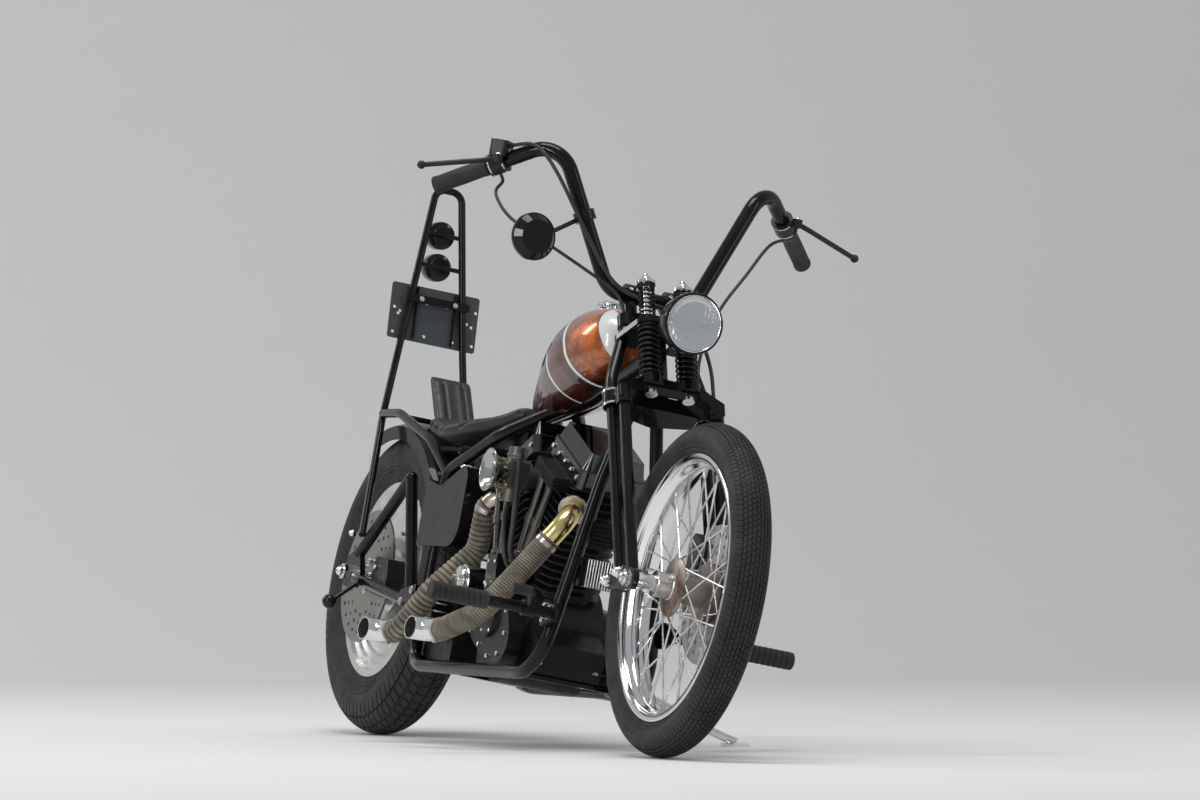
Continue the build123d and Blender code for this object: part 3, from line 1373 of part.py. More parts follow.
# Bar controls: a clamp and a ball-ended lever on each side, and the brake reservoir on the right
with BuildPart() as bar_controls:
    for side in (-1, 1):
        bar(grip_at(side, GRIP_LEN + 4), grip_at(side, GRIP_LEN + 42), 24)
        pivot = grip_at(side, GRIP_LEN + 36) + Vector(0.715, side * 0.699, 0) * 34
        bar(grip_at(side, GRIP_LEN + 30), pivot, 9)
        bar(pivot - Vector(0, 0, 9), pivot + Vector(0, 0, 9), 11)
        bar_end = Vector(BAR_END[0], side * BAR_END[1], BAR_END[2])
        lever_bend = bar_end + Vector(125, side * -47, 60)
        lever_tip = bar_end + Vector(96, side * 75, 26)
        bent_tube([tuple(pivot), tuple(lever_bend), tuple(lever_tip)], 5.5, 60)
        with Locations(Location(tuple(lever_tip + Vector(0, side * 2, -0.5)))):
            Sphere(9)
    reservoir_foot = grip_at(-1, GRIP_LEN + 22) + Vector(6, 0, 14)
    with BuildSketch(Plane(origin=reservoir_foot, x_dir=(0.74, -0.67, 0), z_dir=(0, 0, 1))) as reservoir:
        RectangleRounded(52, 36, 6)
    extrude(reservoir.sketch, amount=34)
    for side in (-1, 1):
        bar(grip_at(side, GRIP_LEN), grip_at(side, GRIP_LEN + 70), BAR_R + SEAT_GAP, mode=Mode.SUBTRACT)
bar_controls.part.label = "bar_controls"

# Mirror on the right: a clamp on the bar, a stem and a round shell, with its glass facing back
MIRROR_AT = (BAR_CENTRE.X + 47.7, -300.0, BAR_CENTRE.Z + 75.6)
MIRROR_R = 50.0
bar_rise = (Vector(BAR_TOP[0], -BAR_TOP[1], BAR_TOP[2]) - Vector(*bar_right[2])).normalized()
mirror_clamp = Vector(*bar_right[2]) + bar_rise * 165
mirror_plane = Plane(origin=MIRROR_AT, z_dir=(1, 0.12, 0.05))
with BuildPart() as mirror_shell:
    bar(mirror_clamp - bar_rise * 11, mirror_clamp + bar_rise * 11, 23)
    bar(mirror_clamp, Vector(*MIRROR_AT) + Vector(15, 22, 8), 5)
    with BuildSketch(mirror_plane) as shell_back:
        Circle(MIRROR_R)
    extrude(shell_back.sketch, amount=8)
    with BuildSketch(mirror_plane.offset(8)) as shell_front:
        Circle(MIRROR_R - 2)
    extrude(shell_front.sketch, amount=14, taper=42)
    bar(mirror_clamp - bar_rise * 20, mirror_clamp + bar_rise * 20, BAR_R + SEAT_GAP, mode=Mode.SUBTRACT)
mirror_shell.part.label = "mirror_shell"

with BuildPart() as mirror_glass:
    with BuildSketch(mirror_plane.offset(-SEAT_GAP)) as glass_disc:
        Circle(MIRROR_R - 4)
    extrude(glass_disc.sketch, amount=-2)
mirror_glass.part.label = "mirror_glass"

# Front brake caliper inside the left rigid leg, open to the disc
CALIPER_BODY = (
    # x and z from the axle
    (-168, 54),
    (-152, 48),
    (-90, 36),
    (-62, 60),
    (-70, 114),
    (-102, 136),
    (-152, 110),
)
CALIPER_PADS = (
    # x and z from the axle
    (-138, 52),
    (-88, 40),
    (-64, 62),
    (-72, 110),
    (-106, 126),
    (-134, 104),
)
with BuildPart() as front_caliper:
    leg_face = LEG_Y - RIGID_LEG_R - SEAT_GAP
    side_plate([(WHEELBASE + x, FRONT_R + z) for x, z in CALIPER_BODY], 74, leg_face, 8)
    side_plate([(WHEELBASE + x, FRONT_R + z) for x, z in CALIPER_PADS], 38, 76, 8)
    spun(
        [
            (FRONT_DISC_Y - DISC_T / 2 - 1, 20),
            (FRONT_DISC_Y - DISC_T / 2 - 1, FRONT_DISC_R + 3),
            (FRONT_DISC_Y + DISC_T / 2 + 1, FRONT_DISC_R + 3),
            (FRONT_DISC_Y + DISC_T / 2 + 1, 20),
        ],
        WHEELBASE,
        FRONT_R,
        mode=Mode.SUBTRACT,
    )
front_caliper.part.label = "front_caliper"

# Cables on the fork. The throttle cable runs from the right housing down to the upper tree, and the
# clutch cable from the left lever to the lower tree. The brake hose crosses before the risers to
# the left leg, runs down outside it and turns in between the legs to the caliper.
housing = grip_at(-1, GRIP_LEN + 22)
housing_down = Vector(0.308, 0.315, -0.898)
left_pivot = grip_at(1, GRIP_LEN + 36) + Vector(0.715, 0.699, 0) * 34
reservoir_side = reservoir_foot + Vector(0.67, 0.74, 0) * (18 + SEAT_GAP)
CABLES = (
    # radius, places
    (
        3.5,
        (
            tuple(housing + housing_down * (24 + SEAT_GAP)),
            tuple(housing + housing_down * 42),
            (1040, -340, 1118),
            (1090, -318, 1070),
            (1140, -248, 1030),
            (1168, -150, 985),
            tuple(fork_at(18, -84, 715)),
            tuple(fork_at(13, -67, UPPER_TREE_Z + 17)),
        ),
    ),
    (
        3.5,
        (
            tuple(left_pivot + Vector(0, 0, -9 - SEAT_GAP)),
            tuple(left_pivot + Vector(6, -8, -36)),
            (1098, 268, 1130),
            (1140, 208, 1050),
            (1168, 150, 960),
            tuple(fork_at(-22, 118, 620)),
            tuple(fork_at(-7, 108, 530)),
            tuple(fork_at(-6, LEG_Y, LOWER_TREE_Z + TREE_H / 2 + SEAT_GAP)),
        ),
    ),
    (
        4.0,
        (
            tuple(reservoir_side + Vector(0, 0, 24)),
            tuple(reservoir_side + Vector(18, 2, 27)),
            (1078, -282, 1230),
            (1122, -242, 1178),
            (1154, -177, 1078),
            tuple(fork_at(30, -98, 735)),
            tuple(fork_at(32, -10, 696)),
            tuple(fork_at(28, 70, 684)),
            tuple(fork_at(14, LEG_Y + 18, 600)),
            tuple(fork_at(12, LEG_Y + 27, 480)),
            tuple(fork_at(14, LEG_Y + 25, 340)),
            tuple(fork_at(30, LEG_Y + 20, 220)),
            tuple(fork_at(42, LEG_Y - 6, 168)),
            tuple(fork_at(46, LEG_Y - 21, 134)),
        ),
    ),
)
with BuildPart() as control_cables:
    for radius, places in CABLES:
        cord(places, radius)
    for held_by in (front_caliper, bar_controls, rigid_fork):
        add(held_by.part, mode=Mode.SUBTRACT)
control_cables.part.label = "control_cables"

# Hoses on the right of the engine, from the carburettor to the front tappet block
HOSES = (
    # radius, places
    (
        6.0,
        (
            (CARB_X + 20, -124, 604),
            (CARB_X + 36, -128, 594),
            (CARB_X + 60, -131, 530),
            (CARB_X + 80, -132, 450),
            (CARB_X + 86, -131, 398),
            (CARB_X + 86, -118, 372),
        ),
    ),
    (
        5.0,
        (
            (CARB_X + 4, -124, 500),
            (CARB_X + 8, -128, 470),
            (CARB_X + 34, -131, 420),
            (CARB_X + 54, -130, 386),
            (CARB_X + 60, -118, 362),
        ),
    ),
)
with BuildPart() as chassis_cables:
    for radius, places in HOSES:
        cord(places, radius)
    for held_by in (carburettor, cam_cover):
        add(held_by.part, mode=Mode.SUBTRACT)
chassis_cables.part.label = "chassis_cables"

# Parked: the machine leans onto its side stand with its rear tyre on the ground, and the origin
# moves to the middle of its footprint
PIECES = (
    front_tyre, front_rim, front_hub, front_brake_disc, rear_tyre, rear_wheel, rear_brake_disc,
    rear_pulley, drive_belt, rear_axle, swingarm, frame_spine, frame_cradle, rear_fender,
    crankcase, cam_cover, cylinders, rocker_boxes, pushrod_tubes, carburettor, intake_bell,
    exhaust_pipes, primary_cover, transmission, starter, oil_tank, finned_coolers, chassis_cables,
    fuel_tank, filler_caps, seat, seat_springs, backrest_pad, sissy_bar, tail_lamps, tail_lenses,
    plate_bracket, rear_blinkers, rear_caliper, foot_controls, peg_rubbers, side_stand,
    rigid_fork, spring_fork, fork_springs, rockers, fork_hardware, headlamp, headlamp_glass,
    handlebar, grips, bar_controls, mirror_shell, mirror_glass, front_caliper, control_cables,
)
leaned = Location((0, 0, ground_rise), (-LEAN_DEG, 0, 0))
outer_pieces = (front_tyre, rear_tyre, bar_controls, peg_rubbers)
outer_boxes = [piece.part.moved(leaned).bounding_box() for piece in outer_pieces]
low_x = min(box.min.X for box in outer_boxes)
high_x = max(box.max.X for box in outer_boxes)
low_y = min(box.min.Y for box in outer_boxes)
high_y = max(box.max.Y for box in outer_boxes)
parked = Location((-(low_x + high_x) / 2, -(low_y + high_y) / 2, 0)) * leaned
os.makedirs("parts", exist_ok=True)
for piece in PIECES:
    placed = piece.part.moved(parked)
    placed.label = piece.part.label
    export_step(placed, f"parts/{piece.part.label}.step")
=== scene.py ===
"""The looks of a springer-fork chopper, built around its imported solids.

Shapes are worked out in millimetres in the upright machine's frame: X forward, Y to the rider's
left, Z up, the origin on the ground below the rear axle. parked() leans them onto the side stand
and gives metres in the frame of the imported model.
"""

import json
import logging
import math
from dataclasses import dataclass, field
from enum import Enum
from typing import ClassVar, Optional, Sequence

import bmesh
import bpy
import numpy as np
from mathutils import Matrix, Vector

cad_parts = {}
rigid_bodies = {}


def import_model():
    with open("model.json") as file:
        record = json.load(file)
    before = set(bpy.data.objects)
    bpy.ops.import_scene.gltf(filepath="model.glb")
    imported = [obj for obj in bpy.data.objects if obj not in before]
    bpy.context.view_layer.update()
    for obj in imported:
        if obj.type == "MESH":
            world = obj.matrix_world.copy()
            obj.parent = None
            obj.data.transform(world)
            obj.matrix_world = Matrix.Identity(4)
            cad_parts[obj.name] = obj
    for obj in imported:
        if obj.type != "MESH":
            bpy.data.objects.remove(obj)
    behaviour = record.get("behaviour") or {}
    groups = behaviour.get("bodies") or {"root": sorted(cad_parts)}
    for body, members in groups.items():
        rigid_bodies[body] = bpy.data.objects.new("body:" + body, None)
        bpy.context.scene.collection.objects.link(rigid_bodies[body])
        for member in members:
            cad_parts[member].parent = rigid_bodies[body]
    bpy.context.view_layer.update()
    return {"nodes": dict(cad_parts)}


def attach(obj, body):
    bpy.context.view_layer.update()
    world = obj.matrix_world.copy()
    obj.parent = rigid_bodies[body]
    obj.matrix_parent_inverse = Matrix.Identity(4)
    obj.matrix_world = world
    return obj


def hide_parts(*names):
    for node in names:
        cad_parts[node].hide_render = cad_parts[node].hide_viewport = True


for spare in list(bpy.data.objects):
    bpy.data.objects.remove(spare)
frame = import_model()

LOG = logging.getLogger("chopper")

LEAN = math.radians(10.8)
SHIFT = np.array([-0.8315, -0.17885621, 0.00116904])
TURN = np.array(
    [[1, 0, 0], [0, math.cos(LEAN), math.sin(LEAN)], [0, -math.sin(LEAN), math.cos(LEAN)]]
)
RAKE = math.radians(31.5)
FORK_X = np.array([math.cos(RAKE), 0, math.sin(RAKE)])
FORK_Z = np.array([-math.sin(RAKE), 0, math.cos(RAKE)])
AXLE = np.array([1650.0, 0.0, 348.0])
FORK_FOOT = AXLE - 107.0 * FORK_X + 49.0 * FORK_Z
REAR_AXLE = np.array([0.0, 0.0, 335.0])
FULL_TURN = 2 * math.pi
ACROSS = np.array([0.0, 1.0, 0.0])

# The clear coat over paint, and the colours of dust and of oily dirt
COAT = 0.6
COAT_IOR = 1.38
DUST = (0.16, 0.145, 0.125)
OILY = (0.075, 0.062, 0.048)

Array = np.ndarray


class Body(Enum):
    """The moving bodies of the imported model."""

    CHASSIS = "chassis"
    FORK = "fork"
    FRONT_WHEEL = "front_wheel"
    REAR_WHEEL = "rear_wheel"
    STAND = "side_stand"


def parked(points: Array) -> Array:
    """Points of the upright machine in millimetres, leaned and moved, in metres."""
    return np.asarray(points, float) / 1000 @ TURN.T + SHIFT


def fork_at(x: float, y: float, z: float) -> Array:
    """A point given along the fork's own axes, as a place on the upright machine."""
    return (FORK_FOOT + np.multiply.outer(x, FORK_X) + np.multiply.outer(y, ACROSS)
            + np.multiply.outer(z, FORK_Z))


def unit(v: Array) -> Array:
    """Vectors divided by their lengths."""
    v = np.asarray(v, float)
    return v / np.linalg.norm(v, axis=-1, keepdims=True)


def lengths(line: Array) -> Array:
    """How far along a line each of its points is."""
    return np.append(0, np.cumsum(np.linalg.norm(np.diff(line, axis=0), axis=1)))


def square_to(axes: Array) -> tuple[Array, Array]:
    """Two directions square to each axis and to each other.

    Args:
        axes: unit vectors, one a row.

    Returns:
        The first directions, which lie level where the axis lets them, and the second ones.
    """
    up = np.where(np.abs(axes[:, 2:]) < 0.94, [[0.0, 0.0, 1.0]], [[1.0, 0.0, 0.0]])
    first = unit(np.cross(axes, up))
    return first, np.cross(first, axes)


@dataclass
class Skin:
    """A surface: points in millimetres, four-sided faces, flat end faces and a map along it."""

    points: Array
    quads: Array
    uv: Array
    ends: list[Array] = field(default_factory=list)
    # Painted shade for a wrapped pipe, one value a point
    overlap_shade: Optional[Array] = None

    @classmethod
    def grids(cls, points: Array, ring: bool = True, loop: bool = False, ends: bool = True,
              along: Optional[Array] = None) -> "Skin":
        """Joins each grid of points by its rows and columns.

        Args:
            points: an array of grids, rows, columns and three coordinates.
            ring: whether the last column joins the first.
            loop: whether the last row joins the first.
            ends: whether the first and last rows are closed with a flat face.
            along: the map's second value at each row.

        Returns:
            The joined surface. The map's first value goes from 0 to 1 round the columns.
        """
        count, rows, cols = points.shape[:3]
        i, j = np.meshgrid(np.arange(rows if loop else rows - 1),
                           np.arange(cols if ring else cols - 1), indexing="ij")
        i, j = i.ravel(), j.ravel()
        below, beside = (i + 1) % rows, (j + 1) % cols
        here, under = i * cols, below * cols
        quad = np.stack([here + j, here + beside, under + beside, under + j], 1)
        start = np.arange(count) * rows * cols
        if along is None:
            v = np.arange(rows + 1, dtype=float) / rows
        else:
            v = np.append(along, 2 * along[-1] - along[-2])
        u = np.arange(cols + 1) / cols
        uv = np.stack([np.stack([u[j], v[i]], 1), np.stack([u[j + 1], v[i]], 1),
                       np.stack([u[j + 1], v[i + 1]], 1), np.stack([u[j], v[i + 1]], 1)], 1)
        closing = []
        if ends and not loop:
            last = (rows - 1) * cols
            closing = [s + row + np.arange(cols) for row in (0, last) for s in start]
        return cls(points.reshape(-1, 3), (quad[None] + start[:, None, None]).reshape(-1, 4),
                   np.tile(uv.reshape(-1, 2), (count, 1)), closing)

    @classmethod
    def joined(cls, *skins: "Skin") -> "Skin":
        """Several surfaces as one."""
        starts = np.cumsum([0] + [len(s.points) for s in skins[:-1]])
        return cls(np.concatenate([s.points for s in skins]),
                   np.concatenate([s.quads + n for s, n in zip(skins, starts)]),
                   np.concatenate([s.uv for s in skins]),
                   [e + n for s, n in zip(skins, starts) for e in s.ends])


def turned(profile: Sequence, origins: Array, axes: Array, sides: int = 48, stretch: Array = 1.0,
           closed: bool = False, start: float = 0.0) -> Skin:
    """A profile turned about one or many axes.

    Each point is the origin, plus its distance along the axis, plus its radius times the cosine
    and sine of the angle on two directions square to the axis.

    Args:
        profile: pairs of distance along the axis and radius.
        origins: where each axis starts.
        axes: the direction of each axis.
        sides: how many points go round.
        stretch: a factor for the distances along each axis.
        closed: whether the profile's last point joins its first.
        start: the angle of the first point round the axis.

    Returns:
        The turned surface.
    """
    shape = np.asarray(profile, float)
    origins, axes = np.broadcast_arrays(np.atleast_2d(origins), unit(np.atleast_2d(axes)))
    first, second = square_to(axes)
    angle = start + np.arange(sides) / sides * FULL_TURN
    ring = np.cos(angle)[:, None] * first[:, None] + np.sin(angle)[:, None] * second[:, None]
    along = shape[:, 0] * np.broadcast_to(stretch, len(origins))[:, None]
    points = (origins[:, None, None] + along[:, :, None, None] * axes[:, None, None]
              + shape[None, :, 1, None, None] * ring[:, None])
    steps = lengths(shape)
    return Skin.grids(points, loop=closed, along=steps)


def tube(path: Array, radius: Array, sides: int = 16, up: Optional[Array] = None) -> Skin:
    """A round tube: at each point of the path a circle square to the path's direction.

    Args:
        path: the points of the centre line.
        radius: one radius, or one for each point, or one for each point and side.
        sides: how many points go round.
        up: a direction that the path never follows.

    Returns:
        The tube with closed ends. The map's second value is the length along it in millimetres.
    """
    path = np.asarray(path, float)
    direction = unit(np.gradient(path, axis=0))
    up = np.eye(3)[np.argmin(np.abs(direction).max(0))] if up is None else unit(up)
    side = unit(np.cross(direction, up))
    top = np.cross(side, direction)
    angle = np.arange(sides) / sides * FULL_TURN
    spread = np.broadcast_to(radius, (len(path),) if np.ndim(radius) < 2 else radius.shape)
    spread = spread.reshape(len(path), -1)[:, :, None]
    around = np.cos(angle)[:, None] * side[:, None] + np.sin(angle)[:, None] * top[:, None]
    rings = path[:, None] + spread * around
    length = lengths(path)
    return Skin.grids(rings[None], along=length)


def rounded(corners: Sequence, bends: Sequence, steps: int = 8, closed: bool = False) -> Array:
    """Straight runs joined by arcs that start and end where an arc of each bend radius would.

    An arc is a weighted mean of its start, its corner and its end, the corner's weight being the
    cosine of half the turn.

    Args:
        corners: the points where the runs would meet, in two or three dimensions.
        bends: the radius at each corner, or one for all.
        steps: how many points an arc has.
        closed: whether the last corner joins the first.

    Returns:
        The points of the line.
    """
    c = np.asarray(corners, float)
    if not closed:
        middle, before, after = c[1:-1], c[:-2], c[2:]
    else:
        middle, before, after = c, np.roll(c, 1, 0), np.roll(c, -1, 0)
    back, ahead = before - middle, after - middle
    turn = np.pi - np.arccos(np.clip((unit(back) * unit(ahead)).sum(1), -1, 1))
    reach = np.broadcast_to(bends, len(middle)) * np.tan(turn / 2)
    if closed:
        shorter = np.minimum(np.linalg.norm(back, axis=1), np.linalg.norm(ahead, axis=1))
        reach = np.minimum(reach, 0.49 * shorter)
    a, b = middle + unit(back) * reach[:, None], middle + unit(ahead) * reach[:, None]
    t = np.linspace(0, 1, steps)[None, :, None]
    weight = np.cos(turn / 2)[:, None, None]
    parts = [(1 - t) ** 2, 2 * t * (1 - t) * weight, t**2]
    line = (parts[0] * a[:, None] + parts[1] * middle[:, None] + parts[2] * b[:, None]) / sum(parts)
    line = line.reshape(-1, c.shape[1])
    return line if closed else np.concatenate([c[:1], line, c[-1:]])


def stations(line: Array, step: float) -> Array:
    """Points at even distances along a line of straight pieces."""
    length = lengths(line)
    at = np.linspace(0, length[-1], max(3, int(length[-1] / step) + 1))
    return np.stack([np.interp(at, length, line[:, k]) for k in range(line.shape[1])], 1)


def prisms(outline: Array, origins: Array, across: Array, up: Array, depth: float,
           chamfer: float = 0.8) -> Skin:
    """A flat shape given a thickness, with its two rims taken off, at one or many places.

    A rim is moved in by the chamfer along the mean of the two neighbouring sides' normals.

    Args:
        outline: the shape's corners, counter-clockwise.
        origins: where the shape's own origin goes.
        across: the direction of the outline's first value.
        up: the direction of the outline's second value.
        depth: the thickness, along the third direction.
        chamfer: how far the rims are taken off.

    Returns:
        The solid shapes.
    """
    flat = np.asarray(outline, float)
    origins = np.atleast_2d(np.asarray(origins, float))
    across = np.broadcast_to(unit(np.atleast_2d(across)), origins.shape)
    up = np.broadcast_to(unit(np.atleast_2d(up)), origins.shape)
    out = np.cross(across, up)
    side = unit(np.roll(flat, -1, 0) - flat)
    normal = np.stack([side[:, 1], -side[:, 0]], 1)
    miter = normal + np.roll(normal, 1, 0)
    miter /= np.maximum((miter * normal).sum(1, keepdims=True), 0.3)
    inner = flat - chamfer * miter
    rows = [(inner, 0), (flat, chamfer), (flat, depth - chamfer), (inner, depth)]
    points = np.stack([
        origins[:, None] + ring[:, 0][:, None] * across[:, None]
        + ring[:, 1][:, None] * up[:, None] + height * out[:, None]
        for ring, height in rows
    ], 1)
    return Skin.grids(points)


def oblong(width: float, height: float, corner: float) -> Array:
    """A rectangle about its middle, with round corners."""
    w, h = width / 2, height / 2
    return rounded([(-w, -h), (w, -h), (w, h), (-w, h)], corner, 6, True)


class Head(Enum):
    """The kinds of screw head, each a profile of height and radius for a size of one."""

    HEX = ((0, 1.0), (0.55, 1.0), (0.62, 0.9), (0.62, 0.55), (0.85, 0.5), (0.85, 0.0))
    DOME = ((0, 1.0), (0.12, 1.0), (0.45, 0.85), (0.68, 0.5), (0.76, 0.0))
    SOCKET = ((0, 0.92), (0.08, 1.0), (0.8, 1.0), (0.9, 0.92), (0.9, 0.55), (0.45, 0.5),
              (0.45, 0.0))
    ACORN = ((0, 1.0), (0.7, 1.0), (0.78, 0.86), (1.15, 0.8), (1.5, 0.55), (1.68, 0.25),
             (1.72, 0.0))


def screws(kind: Head, places: Sequence, axes: Array, size: float) -> Skin:
    """Screw heads or nuts of one kind and size at several places."""
    shape = np.array(kind.value) * size
    if kind is Head.ACORN:
        return Skin.joined(turned(shape[:3], places, axes, 6), turned(shape[2:], places, axes, 20))
    return turned(shape, places, axes, 6 if kind is Head.HEX else 16)


class Graph:
    """A material's nodes, with short calls to add and join them."""

    def __init__(self, name: str) -> None:
        """Starts a material of that name with its shader and output."""
        self.material = bpy.data.materials.new(name)
        self.material.use_nodes = True
        self.tree = self.material.node_tree
        self.shader = self.tree.nodes["Principled BSDF"]
        place = self.add("ShaderNodeTexCoord").outputs["Object"]
        upright = -(TURN.T @ SHIFT)
        mapping = {"Vector": place, "Location": upright, "Rotation": (LEAN, 0, 0)}
        self.place = self.add("ShaderNodeMapping", mapping).outputs[0]

    def add(self, kind: str, inputs: Optional[dict] = None, **settings: object) -> bpy.types.Node:
        """Adds a node.

        Args:
            kind: the node's type.
            inputs: a socket or a constant for each named or numbered input.
            settings: the node's own properties.

        Returns:
            The node.
        """
        node = self.tree.nodes.new(kind)
        for key, value in settings.items():
            setattr(node, key, value)
        for key, value in (inputs or {}).items():
            if isinstance(value, bpy.types.NodeSocket):
                self.tree.links.new(value, node.inputs[key])
            else:
                node.inputs[key].default_value = value
        return node

    def math(self, what: str, a: object, b: object = 0.0, c: object = 0.0) -> bpy.types.NodeSocket:
        """One sum on two or three numbers or sockets."""
        return self.add("ShaderNodeMath", {0: a, 1: b, 2: c}, operation=what).outputs[0]

    def split(self, vector: object) -> bpy.types.bpy_prop_collection:
        """The three parts of a vector."""
        return self.add("ShaderNodeSeparateXYZ", {0: vector}).outputs

    def product(self, a: object, b: object) -> bpy.types.NodeSocket:
        """Two values multiplied."""
        return self.math("MULTIPLY", a, b)

    def difference(self, a: object, b: object) -> bpy.types.NodeSocket:
        """The second value taken from the first."""
        return self.math("SUBTRACT", a, b)

    def linear(self, a: object, factor: object, plus: object) -> bpy.types.NodeSocket:
        """A value times a factor, plus another value."""
        return self.math("MULTIPLY_ADD", a, factor, plus)

    def noise(self, scale: float, detail: float = 4.0, vector: Optional[object] = None,
              warp: float = 0.0) -> bpy.types.NodeSocket:
        """A smooth noise between 0 and 1 over the piece, with that many waves to a metre."""
        inputs = {"Vector": self.place if vector is None else vector, "Scale": scale,
                  "Detail": detail, "Distortion": warp}
        return self.add("ShaderNodeTexNoise", inputs).outputs[0]

    def between(self, value: object, low: float, high: float, to_low: float = 0.0,
                to_high: float = 1.0) -> bpy.types.NodeSocket:
        """A value carried from one range to another and kept inside it."""
        inputs = {"Value": value, "From Min": low, "From Max": high, "To Min": to_low,
                  "To Max": to_high}
        return self.add("ShaderNodeMapRange", inputs).outputs[0]

    def mix(self, share: object, a: object, b: object) -> bpy.types.NodeSocket:
        """A colour between two."""
        node = self.add("ShaderNodeMix", data_type="RGBA")
        for socket, value in ((node.inputs[0], share), (node.inputs[6], a), (node.inputs[7], b)):
            if isinstance(value, bpy.types.NodeSocket):
                self.tree.links.new(value, socket)
            else:
                socket.default_value = value if np.ndim(value) == 0 else (*value, 1.0)[:4]
        return node.outputs[2]

    def bump(self, height: object, distance: float, strength: float = 1.0,
             edge: float = 0.0006) -> bpy.types.NodeSocket:
        """A surface normal from a height between 0 and 1, over softly rounded edges."""
        inputs = {"Height": height, "Distance": distance, "Strength": strength}
        if edge:
            inputs["Normal"] = self.add("ShaderNodeBevel", {"Radius": edge}, samples=3).outputs[0]
        return self.add("ShaderNodeBump", inputs).outputs[0]

    def set(self, **inputs: object) -> None:
        """Sets the shader's inputs, whose spaces are given as underscores."""
        for key, value in inputs.items():
            socket = self.shader.inputs[key.replace("_", " ")]
            if isinstance(value, bpy.types.NodeSocket):
                self.tree.links.new(value, socket)
            else:
                socket.default_value = (*value, 1.0) if np.ndim(value) else value


@dataclass(frozen=True)
class Finish:
    """A finish: how one kind of surface takes colour, gloss and grain."""

    name: str
    colour: tuple
    slot: str
    made: ClassVar[dict] = {}

    def material(self) -> bpy.types.Material:
        """This finish as a material, made once."""
        if self.name not in Finish.made:
            graph = Graph(self.name)
            self.dress(graph)
            Finish.made[self.name] = graph.material
        return Finish.made[self.name]

    def dress(self, g: Graph) -> None:
        """Adds the finish's nodes."""
        raise NotImplementedError


@dataclass(frozen=True)
class Enamel(Finish):
    """Sprayed paint under a clear coat, with a faint orange peel and a little dust."""

    rough: float = 0.3
    dust: float = 0.05

    def dress(self, g: Graph) -> None:
        """Colour dulled by dust in soft patches, peel of about a millimetre in the coat."""
        film = g.between(g.noise(9, 6), 0.45, 0.75)
        specks = g.between(g.noise(420, 2), 0.6, 0.75)
        dusty = g.product(g.linear(specks, 0.6, film), self.dust)
        g.set(Base_Color=g.mix(dusty, self.colour, DUST),
              Roughness=g.between(g.noise(30, 5), 0.3, 0.7, self.rough * 0.8, self.rough * 1.3),
              Coat_Weight=COAT, Coat_Roughness=0.03, Coat_IOR=COAT_IOR, Specular_IOR_Level=0.06,
              Normal=g.bump(g.noise(260, 3), 0.00003, 0.3))


@dataclass(frozen=True)
class Plate(Finish):
    """Bright metal: chrome, polished or brushed, with smudges and fine pitting."""

    rough: float = 0.08
    grain: float = 0.0001
    stain: float = 0.0
    stain_colour: tuple = (0.12, 0.06, 0.025)

    def dress(self, g: Graph) -> None:
        """Metal whose polish varies in soft patches and that stains where the noise is high."""
        patch = g.noise(14, 6, warp=0.4)
        stained = g.product(g.between(patch, 0.5, 0.66), self.stain)
        smudge = g.between(g.noise(45, 6), 0.35, 0.7, self.rough * 0.7, self.rough * 1.6)
        g.set(Base_Color=g.mix(stained, self.colour, self.stain_colour),
              Metallic=g.between(stained, 0, 1, 1.0, 0.55),
              Roughness=g.math("ADD", smudge, g.product(stained, 0.35)),
              Normal=g.bump(g.noise(900, 3), self.grain, 0.6))


@dataclass(frozen=True)
class Casting(Finish):
    """Cast or crackle-painted metal with a fine sandy grain, oily and dusty in places."""

    rough: float = 0.45
    metal: float = 0.0
    grime: float = 0.4

    def dress(self, g: Graph) -> None:
        """A sandy bump of about half a millimetre, and brown grime in broad patches."""
        grime = g.product(g.between(g.noise(11, 7), 0.48, 0.72), self.grime)
        g.set(Base_Color=g.mix(grime, self.colour, OILY), Metallic=self.metal,
              Roughness=g.between(g.noise(60, 5), 0.3, 0.7, self.rough * 0.75, self.rough * 1.35),
              Coat_Weight=0.3, Coat_Roughness=0.2, Coat_IOR=COAT_IOR, Specular_IOR_Level=0.16,
              Normal=g.bump(g.noise(1100, 4), 0.00035, 0.7))


@dataclass(frozen=True)
class Rubber(Finish):
    """Rubber that greys with dust, mostly where it is not polished by use."""

    rough: float = 0.75
    dust: float = 0.5
    shade: tuple = (0.11, 0.1, 0.085)

    def dress(self, g: Graph) -> None:
        """A matt colour with brown-grey dust in patches and a fine grain."""
        dusty = g.product(g.between(g.noise(16, 8, warp=0.3), 0.36, 0.72), self.dust)
        dull = min(1.0, self.rough * 1.15)
        g.set(Base_Color=g.mix(dusty, self.colour, self.shade),
              Roughness=g.between(g.noise(50, 5), 0.3, 0.7, self.rough * 0.85, dull),
              Specular_IOR_Level=0.4, Normal=g.bump(g.noise(700, 4), 0.0003, 0.6, 0))


@dataclass(frozen=True)
class Hide(Finish):
    """Seat leather with a pebbled grain."""

    worn: tuple = (0.034, 0.033, 0.035)

    def dress(self, g: Graph) -> None:
        """Small cells of about two millimetres for the pebbles, finer creases over them."""
        inputs = {"Vector": g.place, "Scale": 620.0}
        cells = g.add("ShaderNodeTexVoronoi", inputs, feature="SMOOTH_F1").outputs[0]
        crease = g.noise(120, 6, warp=0.8)
        height = g.linear(crease, 0.6, cells)
        g.set(Base_Color=g.mix(g.between(g.noise(25, 5), 0.35, 0.7), self.colour, self.worn),
              Roughness=g.between(crease, 0.3, 0.7, 0.36, 0.56), Specular_IOR_Level=0.5,
              Normal=g.bump(height, 0.0004, 0.55, 0))


